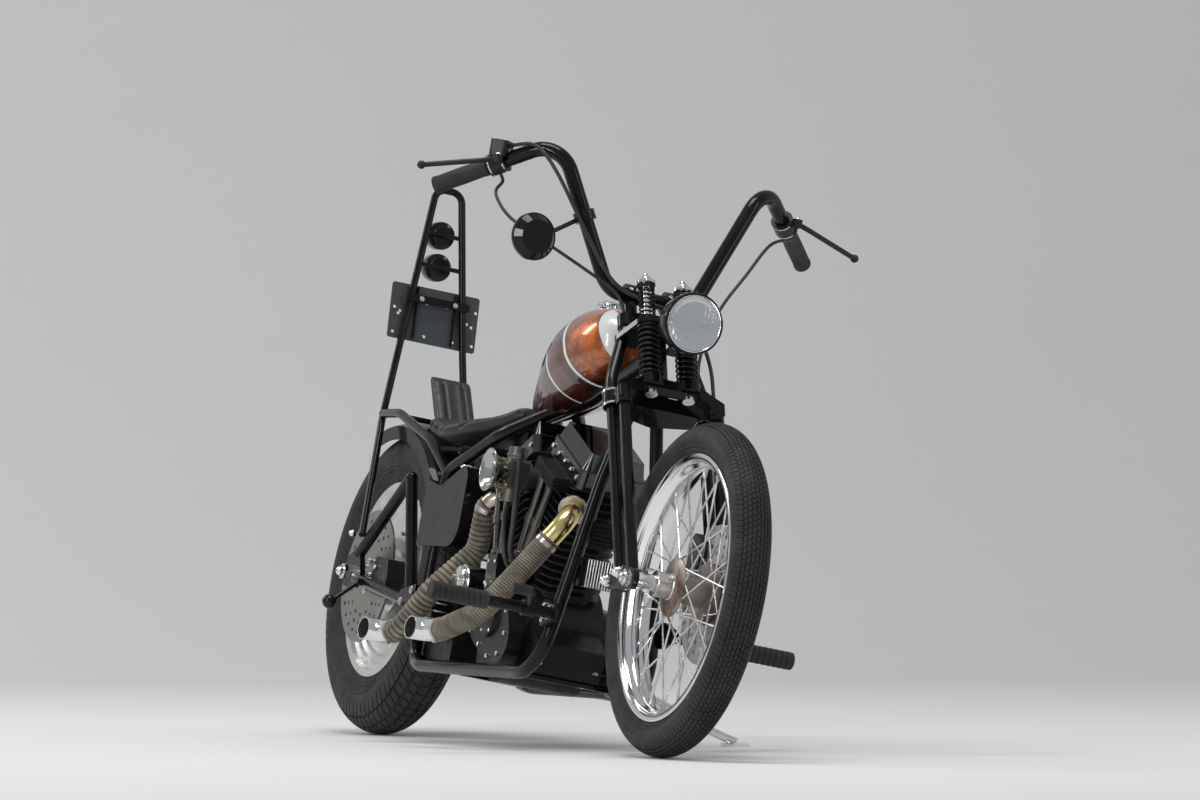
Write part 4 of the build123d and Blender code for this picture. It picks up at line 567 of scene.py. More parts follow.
@dataclass(frozen=True)
class Wrap(Finish):
    """Glass-fibre exhaust wrap: a woven tape in overlapping turns, browned by heat."""

    threads: int = 44
    burnt: tuple = (0.085, 0.066, 0.046)
    # The colour of the painted shade under each turn's overlapping edge
    overlap_shade_colour: tuple = (0.018, 0.014, 0.01)

    def dress(self, g: Graph) -> None:
        """Tape colour browned in patches, darkened by painted shade towards the edge of the next
        turn, with a weave.
        """
        uv = g.add("ShaderNodeUVMap", uv_map="along").outputs[0]
        round_, along, _ = g.split(uv)
        weave = g.product(g.math("SINE", g.product(round_, FULL_TURN * self.threads)),
                          g.math("SINE", g.product(along, 2.4)))
        brown = g.between(g.noise(22, 8, warp=0.5), 0.35, 0.7)
        base = g.mix(brown, self.colour, self.burnt)
        # Painted shade: the exhaust's mask, darkest where the tape tucks under the next turn
        overlap_shade = g.add("ShaderNodeAttribute", attribute_name="overlap_shade", attribute_type="GEOMETRY")
        g.set(Base_Color=g.mix(overlap_shade.outputs["Fac"], base, self.overlap_shade_colour), Roughness=0.85,
              Specular_IOR_Level=0.3, Sheen_Weight=0.3, Sheen_Roughness=0.5,
              Normal=g.bump(g.linear(g.noise(900, 4), 0.8, weave), 0.0005, 0.7, 0))


@dataclass(frozen=True)
class HeatTint(Finish):
    """Bright pipe metal that heat has coloured along its length."""

    bands: tuple = ()

    def dress(self, g: Graph) -> None:
        """Colours that follow the map along the pipe, blurred by noise."""
        uv = g.add("ShaderNodeUVMap", uv_map="along").outputs[0]
        along = g.linear(g.split(uv)[1], 0.02, -0.12)
        ramp = g.add("ShaderNodeValToRGB", {0: g.linear(g.noise(30, 3), 0.25, along)})
        stops = ramp.color_ramp.elements
        while len(stops) < len(self.bands):
            stops.new(0.5)
        for stop, (at, colour) in zip(stops, self.bands):
            stop.position = at
            stop.color = (*colour, 1)
        g.set(Base_Color=ramp.outputs[0], Metallic=1.0,
              Roughness=g.between(g.noise(60, 4), 0.3, 0.7, 0.14, 0.3),
              Normal=g.bump(g.noise(500, 3), 0.0001, 0.5, 0))


@dataclass(frozen=True)
class Candy(Finish):
    """The fuel tank's candy paint: marbling on metal flake with a painted pool of orange light,
    stripes and a white panel.
    """

    stripe: tuple = (0.7, 0.79, 0.8)
    white: tuple = (0.78, 0.79, 0.77)
    # The orange of the painted pool of light, mixed in round the spot below
    painted_light_orange: tuple = (0.86, 0.2, 0.012)
    smoke: tuple = (0.03, 0.009, 0.006)
    ember: tuple = (0.19, 0.032, 0.01)
    vein: tuple = (0.03, 0.008, 0.005)
    painted_light_spot: tuple = (1.05, 0.868)  # the middle of a painted pool of light, in metres ahead and above in the upright machine's side view
    # Each stripe's place, the height it bends from, its lean, its curve and its half width
    stripes: tuple = ((0.942, 0.892, 0.4, 2.2, 0.0056), (0.855, 0.84, 0.62, 0.0, 0.0044))

    def band(self, g: Graph, x: object, z: object, row: Sequence) -> bpy.types.NodeSocket:
        """Whether a place is in a stripe whose middle leans and bends forward below a height."""
        at, top, lean, curve, half = row
        drop = g.difference(top, z)
        bend = g.product(g.product(drop, g.math("MAXIMUM", drop, 0.0)), curve)
        middle = g.math("ADD", g.linear(drop, lean, at), bend)
        return self.step(g, g.difference(half, g.math("ABSOLUTE", g.difference(x, middle))))

    @staticmethod
    def step(g: Graph, value: object, at: float = 0.0) -> bpy.types.NodeSocket:
        """0 below a value and 1 above it, with a soft edge under a millimetre wide."""
        return g.between(value, at - 0.0004, at + 0.0004)

    def dress(self, g: Graph) -> None:
        """Stripes and panel are edges in the upright machine's side view; the rest is marbling,
        turned orange by painted light round one spot.
        """
        x, y, z = g.split(g.place)
        marble = g.between(g.noise(15, 7, warp=1.4), 0.38, 0.64)
        folds = g.math("ABSOLUTE", g.difference(g.noise(26, 8, warp=1.8), 0.5))
        veins = g.between(folds, 0.0, 0.06)
        # Painted light: orange laid over the marbling within about a tenth of a metre of one spot
        ahead, above = g.difference(x, self.painted_light_spot[0]), g.difference(z, self.painted_light_spot[1])
        near = g.between(g.linear(ahead, ahead, g.product(above, above)), 0.0, 0.009, 1.0, 0.0)
        base = g.mix(marble, self.smoke, self.ember)
        base = g.mix(g.product(near, g.linear(marble, 0.6, 0.4)), base, self.painted_light_orange)
        base = g.mix(g.linear(veins, -0.45, 0.45), base, self.vein)
        first, second = (self.band(g, x, z, row) for row in self.stripes)
        rise = g.difference(0.925, z)
        edge = g.linear(g.product(rise, rise), -2.6, g.linear(rise, 0.85, 1.058))
        flank = self.step(g, g.math("ABSOLUTE", y), 0.0368)
        past = g.difference(x, edge)
        panel = g.product(self.step(g, past), flank)
        rim = g.difference(g.product(self.step(g, past, -0.005), flank), panel)
        pale = g.math("MAXIMUM", g.math("MAXIMUM", first, second), rim)
        base = g.mix(panel, g.mix(pale, base, self.stripe), self.white)
        plain = g.math("MAXIMUM", pale, panel)
        flake = g.add("ShaderNodeTexVoronoi", {"Vector": g.place, "Scale": 1500.0})
        sparkle = g.between(g.split(flake.outputs["Color"])[0], 0.0, 1.0, 0.24, 0.4)
        g.set(Base_Color=base, Metallic=g.between(plain, 0, 1, 0.55, 0.0),
              Roughness=g.between(plain, 0, 1, sparkle, 0.3), Coat_Weight=1.0,
              Coat_Roughness=0.02, Coat_IOR=1.55,
              Normal=g.bump(g.noise(240, 2), 0.0001, 0.3, 0))


@dataclass(frozen=True)
class Glass(Finish):
    """Clear or coloured lamp glass."""

    rough: float = 0.02
    through: float = 1.0

    def dress(self, g: Graph) -> None:
        """Glass with a faint haze."""
        g.set(Base_Color=self.colour, Transmission_Weight=self.through, IOR=1.45,
              Roughness=g.between(g.noise(80, 3), 0.3, 0.7, self.rough, self.rough * 2 + 0.01),
              Normal=g.bump(g.noise(60, 2), 0.0001, 0.3, 0))


@dataclass(frozen=True)
class Drilled(Finish):
    """Brushed disc steel with rings of drilled holes about an axle."""

    axle: tuple = (1.65, 0.348)
    rings: tuple = ((0.085, 16), (0.104, 20), (0.124, 24))
    hole: float = 0.0042
    stain: tuple = (0.3, 0.25, 0.2)

    def dress(self, g: Graph) -> None:
        """Each ring's angle is cut into equal shares, and a hole is near each share's middle."""
        x, _, z = g.split(g.place)
        x, z = g.difference(x, self.axle[0]), g.difference(z, self.axle[1])
        radius = g.math("SQRT", g.linear(x, x, g.product(z, z)))
        angle = g.math("ARCTAN2", z, x)
        solid = 1.0
        for at, count in self.rings:
            share = g.math("FRACT", g.linear(angle, count / FULL_TURN, 40.5))
            side = g.product(g.difference(share, 0.5), FULL_TURN * at / count)
            out = g.difference(radius, at)
            away = g.math("SQRT", g.linear(side, side, g.product(out, out)))
            solid = g.product(g.math("GREATER_THAN", away, self.hole), solid)
        brush = g.noise(2600, 2, g.add("ShaderNodeCombineXYZ", {0: radius}).outputs[0])
        stained = g.mix(g.between(g.noise(14, 5), 0.45, 0.75), self.colour, self.stain)
        g.set(Base_Color=stained, Metallic=1.0, Roughness=g.between(brush, 0.3, 0.7, 0.22, 0.38),
              Alpha=solid, Normal=g.bump(brush, 0.00015, 0.5))


# Colours are linear red, green and blue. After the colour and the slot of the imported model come
# each kind's own values: roughness, then what its class lists.
TYRE = Rubber("tyre_rubber", (0.016, 0.016, 0.017), "tyre_rubber", 0.7, 0.35, (0.07, 0.064, 0.055))
RIM = Plate("rim_polish", (0.83, 0.84, 0.85), "rim_silver", 0.07)
SPOKE = Plate("spoke_steel", (0.72, 0.72, 0.72), "rim_silver", 0.16, stain=0.3)
HUB = Plate("hub_satin", (0.66, 0.63, 0.6), "hub_metal", 0.24, stain=0.55)
HUB_RUST = Plate("hub_rust", (0.36, 0.32, 0.28), "hub_metal", 0.4, 0.0004, 0.85, (0.1, 0.045, 0.02))
FRONT_DISC = Drilled("front_disc", (0.62, 0.62, 0.63), "disc_steel")
# Painted reflection: the rear disc's steel is darkened, against the front disc's, for the dark
# surroundings it reflects
REAR_DISC = Drilled("rear_disc", (0.3, 0.3, 0.285), "disc_steel", (0.0, 0.335))
DISC_WHEEL = Plate("spun_wheel", (0.78, 0.78, 0.76), "disc_wheel", 0.3, stain=0.04)
GLOSS = Enamel("gloss_black", (0.003, 0.003, 0.0034), "frame_black")
CHROME = Plate("chrome", (0.8, 0.81, 0.82), "chrome", 0.05)
BOLT = Plate("bolt_zinc", (0.6, 0.59, 0.57), "chrome", 0.22, stain=0.6)
ENGINE = Casting("engine_black", (0.008, 0.008, 0.0085), "engine_black", 0.36, 0.0, 0.25)
FIN = Casting("fin_black", (0.012, 0.012, 0.013), "fin_metal", 0.45, 0.0, 0.25)
# Painted reflection: the polished covers are darkened and tinted green for the dark green
# surroundings they reflect
POLISHED = Plate("polished_cover", (0.085, 0.095, 0.088), "polished_dark", 0.06, 0.00003, 0.1)
CARB = Casting("carb_alloy", (0.15, 0.147, 0.135), "carb_metal", 0.38, 0.75)
BRASS = Plate("brass", (0.7, 0.46, 0.16), "carb_metal", 0.22, stain=0.4)
BELL = Plate("bell_metal", (0.44, 0.46, 0.44), "bell_metal", 0.16, stain=0.08)
SOOT = Rubber("soot", (0.008, 0.0075, 0.007), "pipe_wrap", 0.9, 0.1)
WRAP = Wrap("pipe_wrap", (0.33, 0.285, 0.22), "pipe_wrap")
TINT_FRONT = HeatTint("tint_front", (0.8, 0.7, 0.5), "chrome", (
    (0.0, (0.5, 0.1, 0.05)), (0.35, (0.8, 0.32, 0.06)),
    (0.62, (0.85, 0.6, 0.1)), (1.0, (0.78, 0.66, 0.3))))
TINT_REAR = HeatTint("tint_rear", (0.4, 0.4, 0.5), "chrome", (
    (0.0, (0.55, 0.24, 0.12)), (0.3, (0.5, 0.14, 0.2)),
    (0.6, (0.16, 0.2, 0.5)), (1.0, (0.5, 0.42, 0.34))))
COOLER = Casting("cooler_black", (0.018, 0.018, 0.019), "cooler_black", 0.4)
FIN_BRIGHT = Plate("fin_bright", (0.88, 0.88, 0.87), "cooler_black", 0.42, stain=0.1)
CANDY = Candy("candy_paint", (0.36, 0.09, 0.02), "candy_orange")
LEATHER = Hide("seat_leather", (0.017, 0.017, 0.019), "seat_leather")
SPRING = Enamel("spring_black", (0.01, 0.01, 0.0105), "spring_black", 0.32)
LAMP = Enamel("lamp_black", (0.008, 0.008, 0.009), "lamp_black", 0.25)
LENS = Glass("lens_red", (0.6, 0.012, 0.01), "lens_red", 0.05, 0.8)
CLEAR = Glass("lamp_glass", (0.94, 0.96, 0.97), "clear_glass")
TUBE = Plate("tube_gunmetal", (0.14, 0.138, 0.125), "bell_metal", 0.2, stain=0.15)
REFLECTOR = Plate("reflector", (0.9, 0.9, 0.9), "clear_glass", 0.05)
PLATE_GREY = Casting("plate_grey", (0.055, 0.06, 0.066), "plate_grey", 0.5, 0.2, 0.5)
CALIPER = Casting("caliper_black", (0.02, 0.02, 0.021), "caliper_black", 0.38)
GRIP = Rubber("grip_rubber", (0.016, 0.016, 0.017), "grip_rubber", 0.62, 0.25)
HOSE = Rubber("hose_rubber", (0.02, 0.02, 0.021), "grip_rubber", 0.45, 0.2)
SHELL = Enamel("mirror_black", (0.008, 0.008, 0.009), "mirror_black", 0.2)
MIRROR = Plate("mirror_face", (0.9, 0.9, 0.91), "mirror_face", 0.015, 0.0)


@dataclass
class Assembly:
    """A group of pieces that ride on one body."""

    body: ClassVar[Body] = Body.CHASSIS

    def piece(self, name: str, skin: Skin, finish: Finish, *nodes: str, sharp: float = 38.0,
              body: Optional[Body] = None) -> bpy.types.Object:
        """Makes one finished piece from a surface.

        Args:
            name: the piece's name.
            skin: its surface, in millimetres of the upright machine.
            finish: what it is finished with.
            nodes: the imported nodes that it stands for.
            sharp: edges that turn by more than these degrees stay sharp.
            body: the body that it rides on, where that is not the assembly's.

        Returns:
            The piece.
        """
        mesh = bpy.data.meshes.new(name)
        faces = skin.quads.tolist() + [end.tolist() for end in skin.ends]
        mesh.from_pydata(parked(skin.points).tolist(), [], faces)
        uv = np.zeros((len(mesh.loops), 2))
        uv[: len(skin.uv)] = skin.uv
        mesh.uv_layers.new(name="along").data.foreach_set("uv", uv.ravel())
        # A wrapped pipe's painted shade, kept for each point
        if skin.overlap_shade is not None:
            mesh.attributes.new("overlap_shade", "FLOAT", "POINT").data.foreach_set("value", skin.overlap_shade)
        bm = bmesh.new()
        bm.from_mesh(mesh)
        bmesh.ops.remove_doubles(bm, verts=bm.verts, dist=2e-6)
        bmesh.ops.recalc_face_normals(bm, faces=bm.faces)
        bm.to_mesh(mesh)
        bm.free()
        mesh.shade_smooth()
        mesh.set_sharp_from_angle(angle=math.radians(sharp))
        mesh.materials.append(finish.material())
        piece = bpy.data.objects.new(name, mesh)
        bpy.context.scene.collection.objects.link(piece)
        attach(piece, (body or self.body).value)
        if nodes:
            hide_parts(*nodes)
        LOG.info("%s: %d faces on %s", name, len(mesh.polygons), (body or self.body).value)
        return piece

    def bolts(self, name: str, kind: Head, size: float, places: Sequence, axes: Array,
              finish: Optional[Finish] = None) -> None:
        """Makes one piece of all screw heads of a kind, bright unless a finish is given."""
        self.piece(name, screws(kind, places, axes, size), finish or CHROME)

    def keep(self, **finishes: Finish) -> None:
        """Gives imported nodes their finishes, by node name."""
        for node, finish in finishes.items():
            for slot in frame["nodes"][node].material_slots:
                slot.material = finish.material()
            LOG.info("%s: packed shape in %s", node, finish.name)


def lathe(profile: Sequence, centre: Array, sides: int = 96, closed: bool = False) -> Skin:
    """A profile of distance across the machine and radius, turned about a wheel's axle."""
    return turned(profile, centre, ACROSS, sides, closed=closed)


def circle(count: int, radius: float, centre: Sequence, across: float, start: float = 0.0) -> Array:
    """Places at even angles round a circle in the side view, at one distance across."""
    angle = np.arange(count) / count * FULL_TURN + start
    return np.stack([centre[0] + radius * np.cos(angle), np.full(count, across),
                     centre[2] + radius * np.sin(angle)], 1)


def mirrored(places: Sequence) -> tuple[Array, Array]:
    """Places of the left side on the right and the left, with the directions outward."""
    left = np.atleast_2d(np.asarray(places, float))
    return np.concatenate([left * [1, -1, 1], left]), np.repeat([-ACROSS, ACROSS], len(left), 0)


def tread(centre: Array, outer: float, crown: float, bead: Sequence, grooves: Sequence,
          pitch: float, skew: float, depth: float, slit: Sequence) -> Skin:
    """A tyre with grooves round it and short slits across its ribs.

    The section is the inside at the beads, a straight sidewall with low rings and a round crown.
    Grooves lower the radius at set places along the crown. Slits repeat round the tyre, and each
    rib's slits are shifted by half a pitch from the next rib's.

    Args:
        centre: the wheel's middle.
        outer: the outer radius.
        crown: the radius of the crown in the section.
        bead: pairs of half width and radius from the inside of the bead to the sidewall's top.
        grooves: how far each groove is from the middle along the crown, with its half width.
        pitch: how far apart the slits are round the tyre.
        skew: how far the slits lean round the tyre for each millimetre across.
        depth: how deep the grooves are.
        slit: the slits' half width, depth and reach from the middle.

    Returns:
        The tyre, closed across the beads.
    """
    wide, deep, reach = slit
    slope = 0.4
    marks = [side * g + w * share for g, w in grooves for side in (-1, 1)
             for share in (-1.5, -1, 1, 1.5)]
    half = crown * math.pi / 2
    along = np.unique(np.round(np.concatenate([marks, np.linspace(-half, half, 25)[1:-1]]), 2))
    low = sum(((np.abs(np.abs(along) - g) <= w * 1.01) * depth for g, w in grooves),
              np.zeros(len(along)))
    rib = sum((along > s * g).astype(float) for g, w in grooves for s in (-1, 1))
    side = np.asarray(bead, float)
    y = np.concatenate([-side[:, 0], (crown - low) * np.sin(along / crown), side[::-1, 0]])
    height = outer - crown + (crown - low) * np.cos(along / crown)
    r = np.concatenate([side[:, 1], height, side[::-1, 1]])
    count = int(round(FULL_TURN * outer / pitch))
    cell = np.array([0.0, wide, wide + slope, pitch / 2, pitch - wide - slope, pitch - wide])
    turn = ((np.arange(count)[:, None] + cell / pitch) / count).ravel()
    cut = np.tile([1.0, 1.0, 0.0, 0.0, 0.0, 1.0], count)
    pad = np.zeros(len(side))
    shift = np.concatenate([pad, (rib % 2) * 0.5 * pitch + skew * np.abs(along), pad])
    inside = np.concatenate([pad, ((np.abs(along) < reach) & (low == 0)) * deep, pad])
    angle = turn[None] * FULL_TURN + shift[:, None] / outer
    radius = r[:, None] - inside[:, None] * cut[None]
    points = [centre[0] + radius * np.cos(angle),
              centre[1] + np.broadcast_to(y[:, None], radius.shape),
              centre[2] + radius * np.sin(angle)]
    return Skin.grids(np.stack(points, 2)[None], loop=True)


def rings(places: Sequence, rise: float, half: float) -> list:
    """The corners of low rings round a sidewall: pairs of half width and radius."""
    slope = 0.8
    corners = ((-half - slope, 0), (-half, rise), (half, rise), (half + slope, 0))
    return [(width + up, radius + out) for width, radius in places for out, up in corners]


@dataclass
class FrontWheel(Assembly):
    """The laced front wheel: tyre, rim, spokes, hub and brake disc.

    The tables hold pairs of distance across the wheel and radius.
    """

    body: ClassVar[Body] = Body.FRONT_WHEEL
    radius: float = 348.0
    crown: float = 44.0
    lines: tuple = ((34.6, 288), (37.5, 295))
    grooves: tuple = ((4.5, 1.1), (13.5, 1.2), (22.5, 1.2), (31.5, 1.1))
    half_rim: tuple = (
        (0, 255), (9, 255), (14, 262), (19, 267.6), (27, 268), (30, 270), (30, 278), (31.3, 279.8),
        (32.6, 279), (33, 277), (33, 267.4), (31, 265), (24, 263.6), (19, 261), (14, 254),
        (9.5, 251.6), (0, 251))
    sleeve: tuple = ((-76, 11.1), (-76, 25.5), (-74.5, 27), (-44, 27), (-42, 29))
    cup: tuple = (
        (-42, 29), (-40.5, 45), (-37, 54), (-35.5, 60), (-34, 62), (-31, 62), (-30, 60), (-30, 31),
        (30, 31), (30, 61), (31, 62), (48, 62), (49.5, 60), (49.5, 27), (76, 27), (76, 11.1))
    disc: tuple = ((49.5, 64), (49.5, 145), (50.2, 146), (53.8, 146), (54.5, 145), (54.5, 64))
    spider: tuple = ((50.5, 28), (50.5, 72), (56, 72), (57, 60), (57, 28))
    spokes: int = 40
    wire: float = 2.0
    root: tuple = (56.0, 32.0)  # the spokes' radius and half width at the hub
    tip: tuple = (251.7, 5.0)  # the same at the rim
    lead: float = math.radians(46)

    def build(self) -> None:
        """Makes every piece of the wheel."""
        bead = [(29, 268.3), (29, 281)] + rings(self.lines, 0.9, 1.2) + [(40, 300)]
        tyre = tread(AXLE, self.radius, self.crown, bead, self.grooves, pitch=13.0, skew=0.25,
                     depth=2.6, slit=(0.8, 2.2, 50.0))
        self.piece("front_tyre_tread", tyre, TYRE, "front_tyre", sharp=50)
        outline = list(self.half_rim) + [(-y, r) for y, r in self.half_rim[-2:0:-1]]
        rim = lathe(outline, AXLE, 180, closed=True)
        self.piece("front_rim_lathed", rim, RIM, "front_rim", sharp=50)
        roots, tips = self.ends()
        way = tips - roots
        self.piece("front_hub_sleeve", lathe(self.sleeve, AXLE, 64), HUB, "front_hub")
        wires = turned([(0, self.wire), (1, self.wire)], roots, way, 8, np.linalg.norm(way, axis=1))
        bends = turned([(-5, 0), (-5, 2.6), (-3.5, 3.2), (-2, 2.6), (2, 2.3)], roots, way, 8)
        self.piece("front_spokes", Skin.joined(wires, bends), SPOKE)
        nipple = [(-17, 2.4), (-17, 3.1), (-1, 3.4), (1, 3.4)]
        self.piece("spoke_nipples", turned(nipple, tips, way, 8), BOLT)
        self.piece("front_hub_barrel", lathe(self.cup, AXLE, 96), HUB_RUST)
        eye = [(0, 4.2), (1.4, 4.2), (1.4, 2.6), (0.2, 2.4)]
        eyes = circle(self.spokes // 2, 55.5, AXLE, -33.6, 0.08)
        self.piece("hub_eyes", turned(eye, eyes, -ACROSS, 12), HUB)
        ring = lathe(self.disc, AXLE, 128, closed=True)
        self.piece("front_disc_ring", ring, FRONT_DISC, "front_brake_disc")
        self.piece("front_disc_carrier", lathe(self.spider, AXLE, 96), CALIPER)
        self.bolts("front_disc_bolts", Head.DOME, 7.5, circle(5, 42, AXLE, 57.0, 0.3), ACROSS)

    def ends(self) -> tuple[Array, Array]:
        """The spokes' ends at the hub and at the rim, crossed in fours."""
        n = np.arange(self.spokes)
        side, lead = np.where(n % 2, 1.0, -1.0), np.where(n % 4 < 2, 1.0, -1.0)
        at = n / self.spokes * FULL_TURN
        places = []
        for (radius, half), angle in ((self.root, at + lead * self.lead), (self.tip, at)):
            out = [radius * np.cos(angle), side * half, radius * np.sin(angle)]
            places.append(AXLE + np.stack(out, 1))
        return tuple(places)


@dataclass
class RearWheel(Assembly):
    """The disc wheel with its fat tyre, brake disc and toothed pulley."""

    body: ClassVar[Body] = Body.REAR_WHEEL
    radius: float = 335.0
    crown: float = 66.0
    lines: tuple = ((50, 228), (54, 238), (57.5, 246), (61, 255))
    grooves: tuple = ((12, 2.2), (34, 2.4), (62, 1.6))
    teeth: int = 70

    def build(self) -> None:
        """Makes the tyre, the fasteners and the teeth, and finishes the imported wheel."""
        bead = [(43, 205.3), (43, 217)] + rings(self.lines, 1.0, 1.6) + [(64.5, 262)]
        tyre = tread(REAR_AXLE, self.radius, self.crown, bead, self.grooves, pitch=26.0, skew=0.55,
                     depth=4.0, slit=(1.6, 3.4, 96.0))
        self.piece("rear_tyre_tread", tyre, TYRE, "rear_tyre", sharp=50)
        self.keep(rear_wheel=DISC_WHEEL, rear_brake_disc=REAR_DISC, rear_pulley=ENGINE)
        for side, name, hub in ((-1, "right", -86.5), (1, "left", 92.0)):
            self.bolts(f"wheel_bolts_{name}", Head.HEX, 6.5,
                       circle(10, 108, REAR_AXLE, side * 24.6, 0.2), side * ACROSS, BOLT)
            self.bolts(f"hub_bolts_{name}", Head.SOCKET, 7.0,
                       circle(5, 34, REAR_AXLE, hub), side * ACROSS)
        out = circle(self.teeth, 1.0, np.zeros(3), 0.0)
        teeth = prisms(oblong(24, 6.4, 1.6), REAR_AXLE + out * 129.5, ACROSS,
                       np.cross(out, ACROSS), 6.0)
        self.piece("pulley_teeth", teeth, ENGINE)


def helix(foot: Array, up: Array, height: float, radius: float, turns: float, wire: float,
          steps: int = 22) -> Skin:
    """A coil spring with flat closed ends: the rise is slow over the first and last turn."""
    t = np.linspace(0, 1, int(turns * steps) + 1)
    flat = 0.9 / turns
    closed = wire * 0.9 / height
    rise = np.interp(t, [0, flat, 1 - flat, 1], [0, closed, 1 - closed, 1])
    first, second = (v[0] for v in square_to(unit(np.atleast_2d(up))))
    angle = t[:, None] * turns * FULL_TURN
    path = (foot + np.outer(wire / 2 + rise * (height - wire), unit(up))
            + radius * (np.cos(angle) * first + np.sin(angle) * second))
    return tube(path, wire / 2, 10, up=up)


@dataclass
class Fork(Assembly):
    """The springer fork with its springs, bolts and axle.

    Distances are along the fork's own axes: ahead of the steering axis, across and up it.
    """

    body: ClassVar[Body] = Body.FORK
    rod: float = 72.0
    apart: float = 42.0
    leg: tuple = (12.0, 104.0)
    tree: float = 450.0
    # Each spring's foot, height, radius, turns and wire
    springs: tuple = ((476.5, 127.5, 21.4, 10.5, 5.2), (619.5, 90.5, 15.8, 9.5, 3.9))
    # Each cup's height on the rod, the way it faces, the sides it has and its profile
    cups: tuple = (
        (475.4, 1, 40, ((0, 9), (0, 26.6), (5, 26.6), (6.5, 25), (6.5, 17), (1.5, 16))),
        (605.8, -1, 40, ((0, 9), (0, 26.6), (5, 26.6), (6.5, 25), (6.5, 17), (1.5, 16))),
        (618.3, 1, 40, ((0, 8), (0, 20.5), (4, 20.5), (5, 19), (5, 12))),
        (484, 1, 32, ((0, 8), (0, 17.5), (110, 17.5), (110, 8))))
    washer: tuple = ((0, 8), (0, 19.8), (3.5, 19.8), (4.5, 18.5), (4.5, 11))
    stem: tuple = ((0, 21), (7, 21), (8.5, 19.5), (8.5, 12), (13, 11), (15, 0))

    def build(self) -> None:
        """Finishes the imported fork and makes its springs, caps and bolts."""
        self.keep(rigid_fork=GLOSS, spring_fork=GLOSS, rockers=GLOSS, fork_hardware=CHROME,
                  handlebar=GLOSS, front_caliper=CALIPER, control_cables=HOSE)
        coils, collars, nuts, rods, bands = [], [], [], [], []
        for side in (-1, 1):
            y = side * self.apart
            coils += [helix(fork_at(self.rod, y, foot), FORK_Z, *spring)
                      for foot, *spring in self.springs]
            collars += [turned(profile, fork_at(self.rod, y, z), way * FORK_Z, count)
                        for z, way, count, profile in self.cups]
            rods.append(turned([(0, 7.5), (96, 7.5)], fork_at(self.rod, y, 617), FORK_Z, 20))
            nuts += [turned(self.washer, fork_at(self.rod, y, 711), FORK_Z, 40),
                     screws(Head.ACORN, fork_at(self.rod, y, 715.5), FORK_Z, 12.5),
                     screws(Head.HEX, fork_at(self.rod, y, 451.5), -FORK_Z, 12.6)]
            bands += [turned([(0, 20), (0, 21), (5, 21), (5, 20)],
                             fork_at(self.leg[0], side * self.leg[1], z), FORK_Z, 40, closed=True)
                      for z in (430.5, 463)]
        self.piece("fork_coils", Skin.joined(*coils), SPRING, "fork_springs")
        self.piece("spring_cups", Skin.joined(*collars), GLOSS)
        self.piece("spring_rods", Skin.joined(*rods), CHROME)
        self.piece("spring_nuts", Skin.joined(*nuts), CHROME)
        self.bolts("rocker_nuts", Head.ACORN, 12.5, *mirrored(fork_at([12, 70], 131.3, [0, -14])))
        self.bolts("axle_caps", Head.DOME, 12, *mirrored(fork_at(107, 143.8, -49)))
        self.piece("tree_bands", Skin.joined(*bands), CHROME)
        pinch = fork_at(self.leg[0] + 21.5, np.array([-1, 1]) * self.leg[1], self.tree)
        self.bolts("tree_bolts", Head.SOCKET, 6, pinch, FORK_X)
        risers = fork_at(21.5, np.array([-52.5, -37.5, 37.5, 52.5]), 731)
        self.bolts("riser_bolts", Head.SOCKET, 4.2, risers, FORK_X)
        self.piece("stem_nut", turned(self.stem, fork_at(0, 0, 671.3), FORK_Z, 6), CHROME)
        pads = AXLE + np.array([(-140, 92, 70), (-90, 92, 64), (-110, 92, 112)])
        self.bolts("caliper_bolts", Head.SOCKET, 6, pads, ACROSS)


@dataclass
class Lamp(Assembly):
    """The headlamp: a hollow bowl, a rim, a reflector and a fluted lens.

    The profiles hold pairs of distance ahead of the face and radius.
    """

    body: ClassVar[Body] = Body.FORK
    face: tuple = (1424.0, 0.0, 904.0)
    shell: tuple = (
        (-2, 58), (-2, 63), (-14, 63.6), (-18, 61), (-30, 60.4), (-52, 58), (-68, 52.5), (-80, 46),
        (-90, 37), (-98, 28), (-103, 17), (-105.5, 7), (-106, 0))
    rim: tuple = ((-14, 62), (-14, 65), (-2, 65), (0, 64), (0.6, 61.5), (-1, 59))
    ring: tuple = ((-1, 60), (0.8, 59.5), (1.2, 58), (0, 56.8))
    bulb: tuple = ((-58, 7), (-40, 7), (-36, 5), (-34, 0))
    lens: float = 57.0

    def build(self) -> None:
        """Makes the lamp's shell, rims, reflector, bulb and glass."""
        depth = np.linspace(0, 1, 14)
        bowl = np.stack([-60 + 56 * depth**2, 6 + 51.5 * depth], 1)
        for name, profile, sides, finish, nodes in (
            ("lamp_bowl", self.shell, 96, LAMP, ["headlamp"]),
            ("lamp_rim", self.rim, 96, LAMP, []),
            ("lamp_ring", self.ring, 96, CHROME, []),
            ("lamp_reflector", bowl, 72, REFLECTOR, []),
            ("lamp_bulb", self.bulb, 24, BRASS, []),
        ):
            self.piece(name, turned(profile, self.face, [1, 0, 0], sides), finish, *nodes)
        self.piece("lamp_lens", self.glass(), CLEAR, "headlamp_glass", sharp=60)

    def glass(self) -> Skin:
        """A domed glass with upright flutes and level steps inside its rim."""
        radius = np.linspace(0.4, self.lens, 44)[:, None]
        angle = np.arange(140) / 140 * FULL_TURN
        y, z = radius * np.cos(angle), radius * np.sin(angle)
        dome = 7.6 - 7.2 * (radius / self.lens) ** 2.2
        flute = 0.5 * np.abs(np.sin(y / 2.6)) + 0.3 * (np.abs(np.mod(z, 19) - 9.5) < 0.8)
        front = np.stack([dome - flute * (radius < 54), y, z], 2)
        back = np.stack(np.broadcast_arrays(dome - 3.2, y, z), 2)[::-1]
        return Skin.grids((self.face + np.concatenate([front, back]))[None], loop=True)


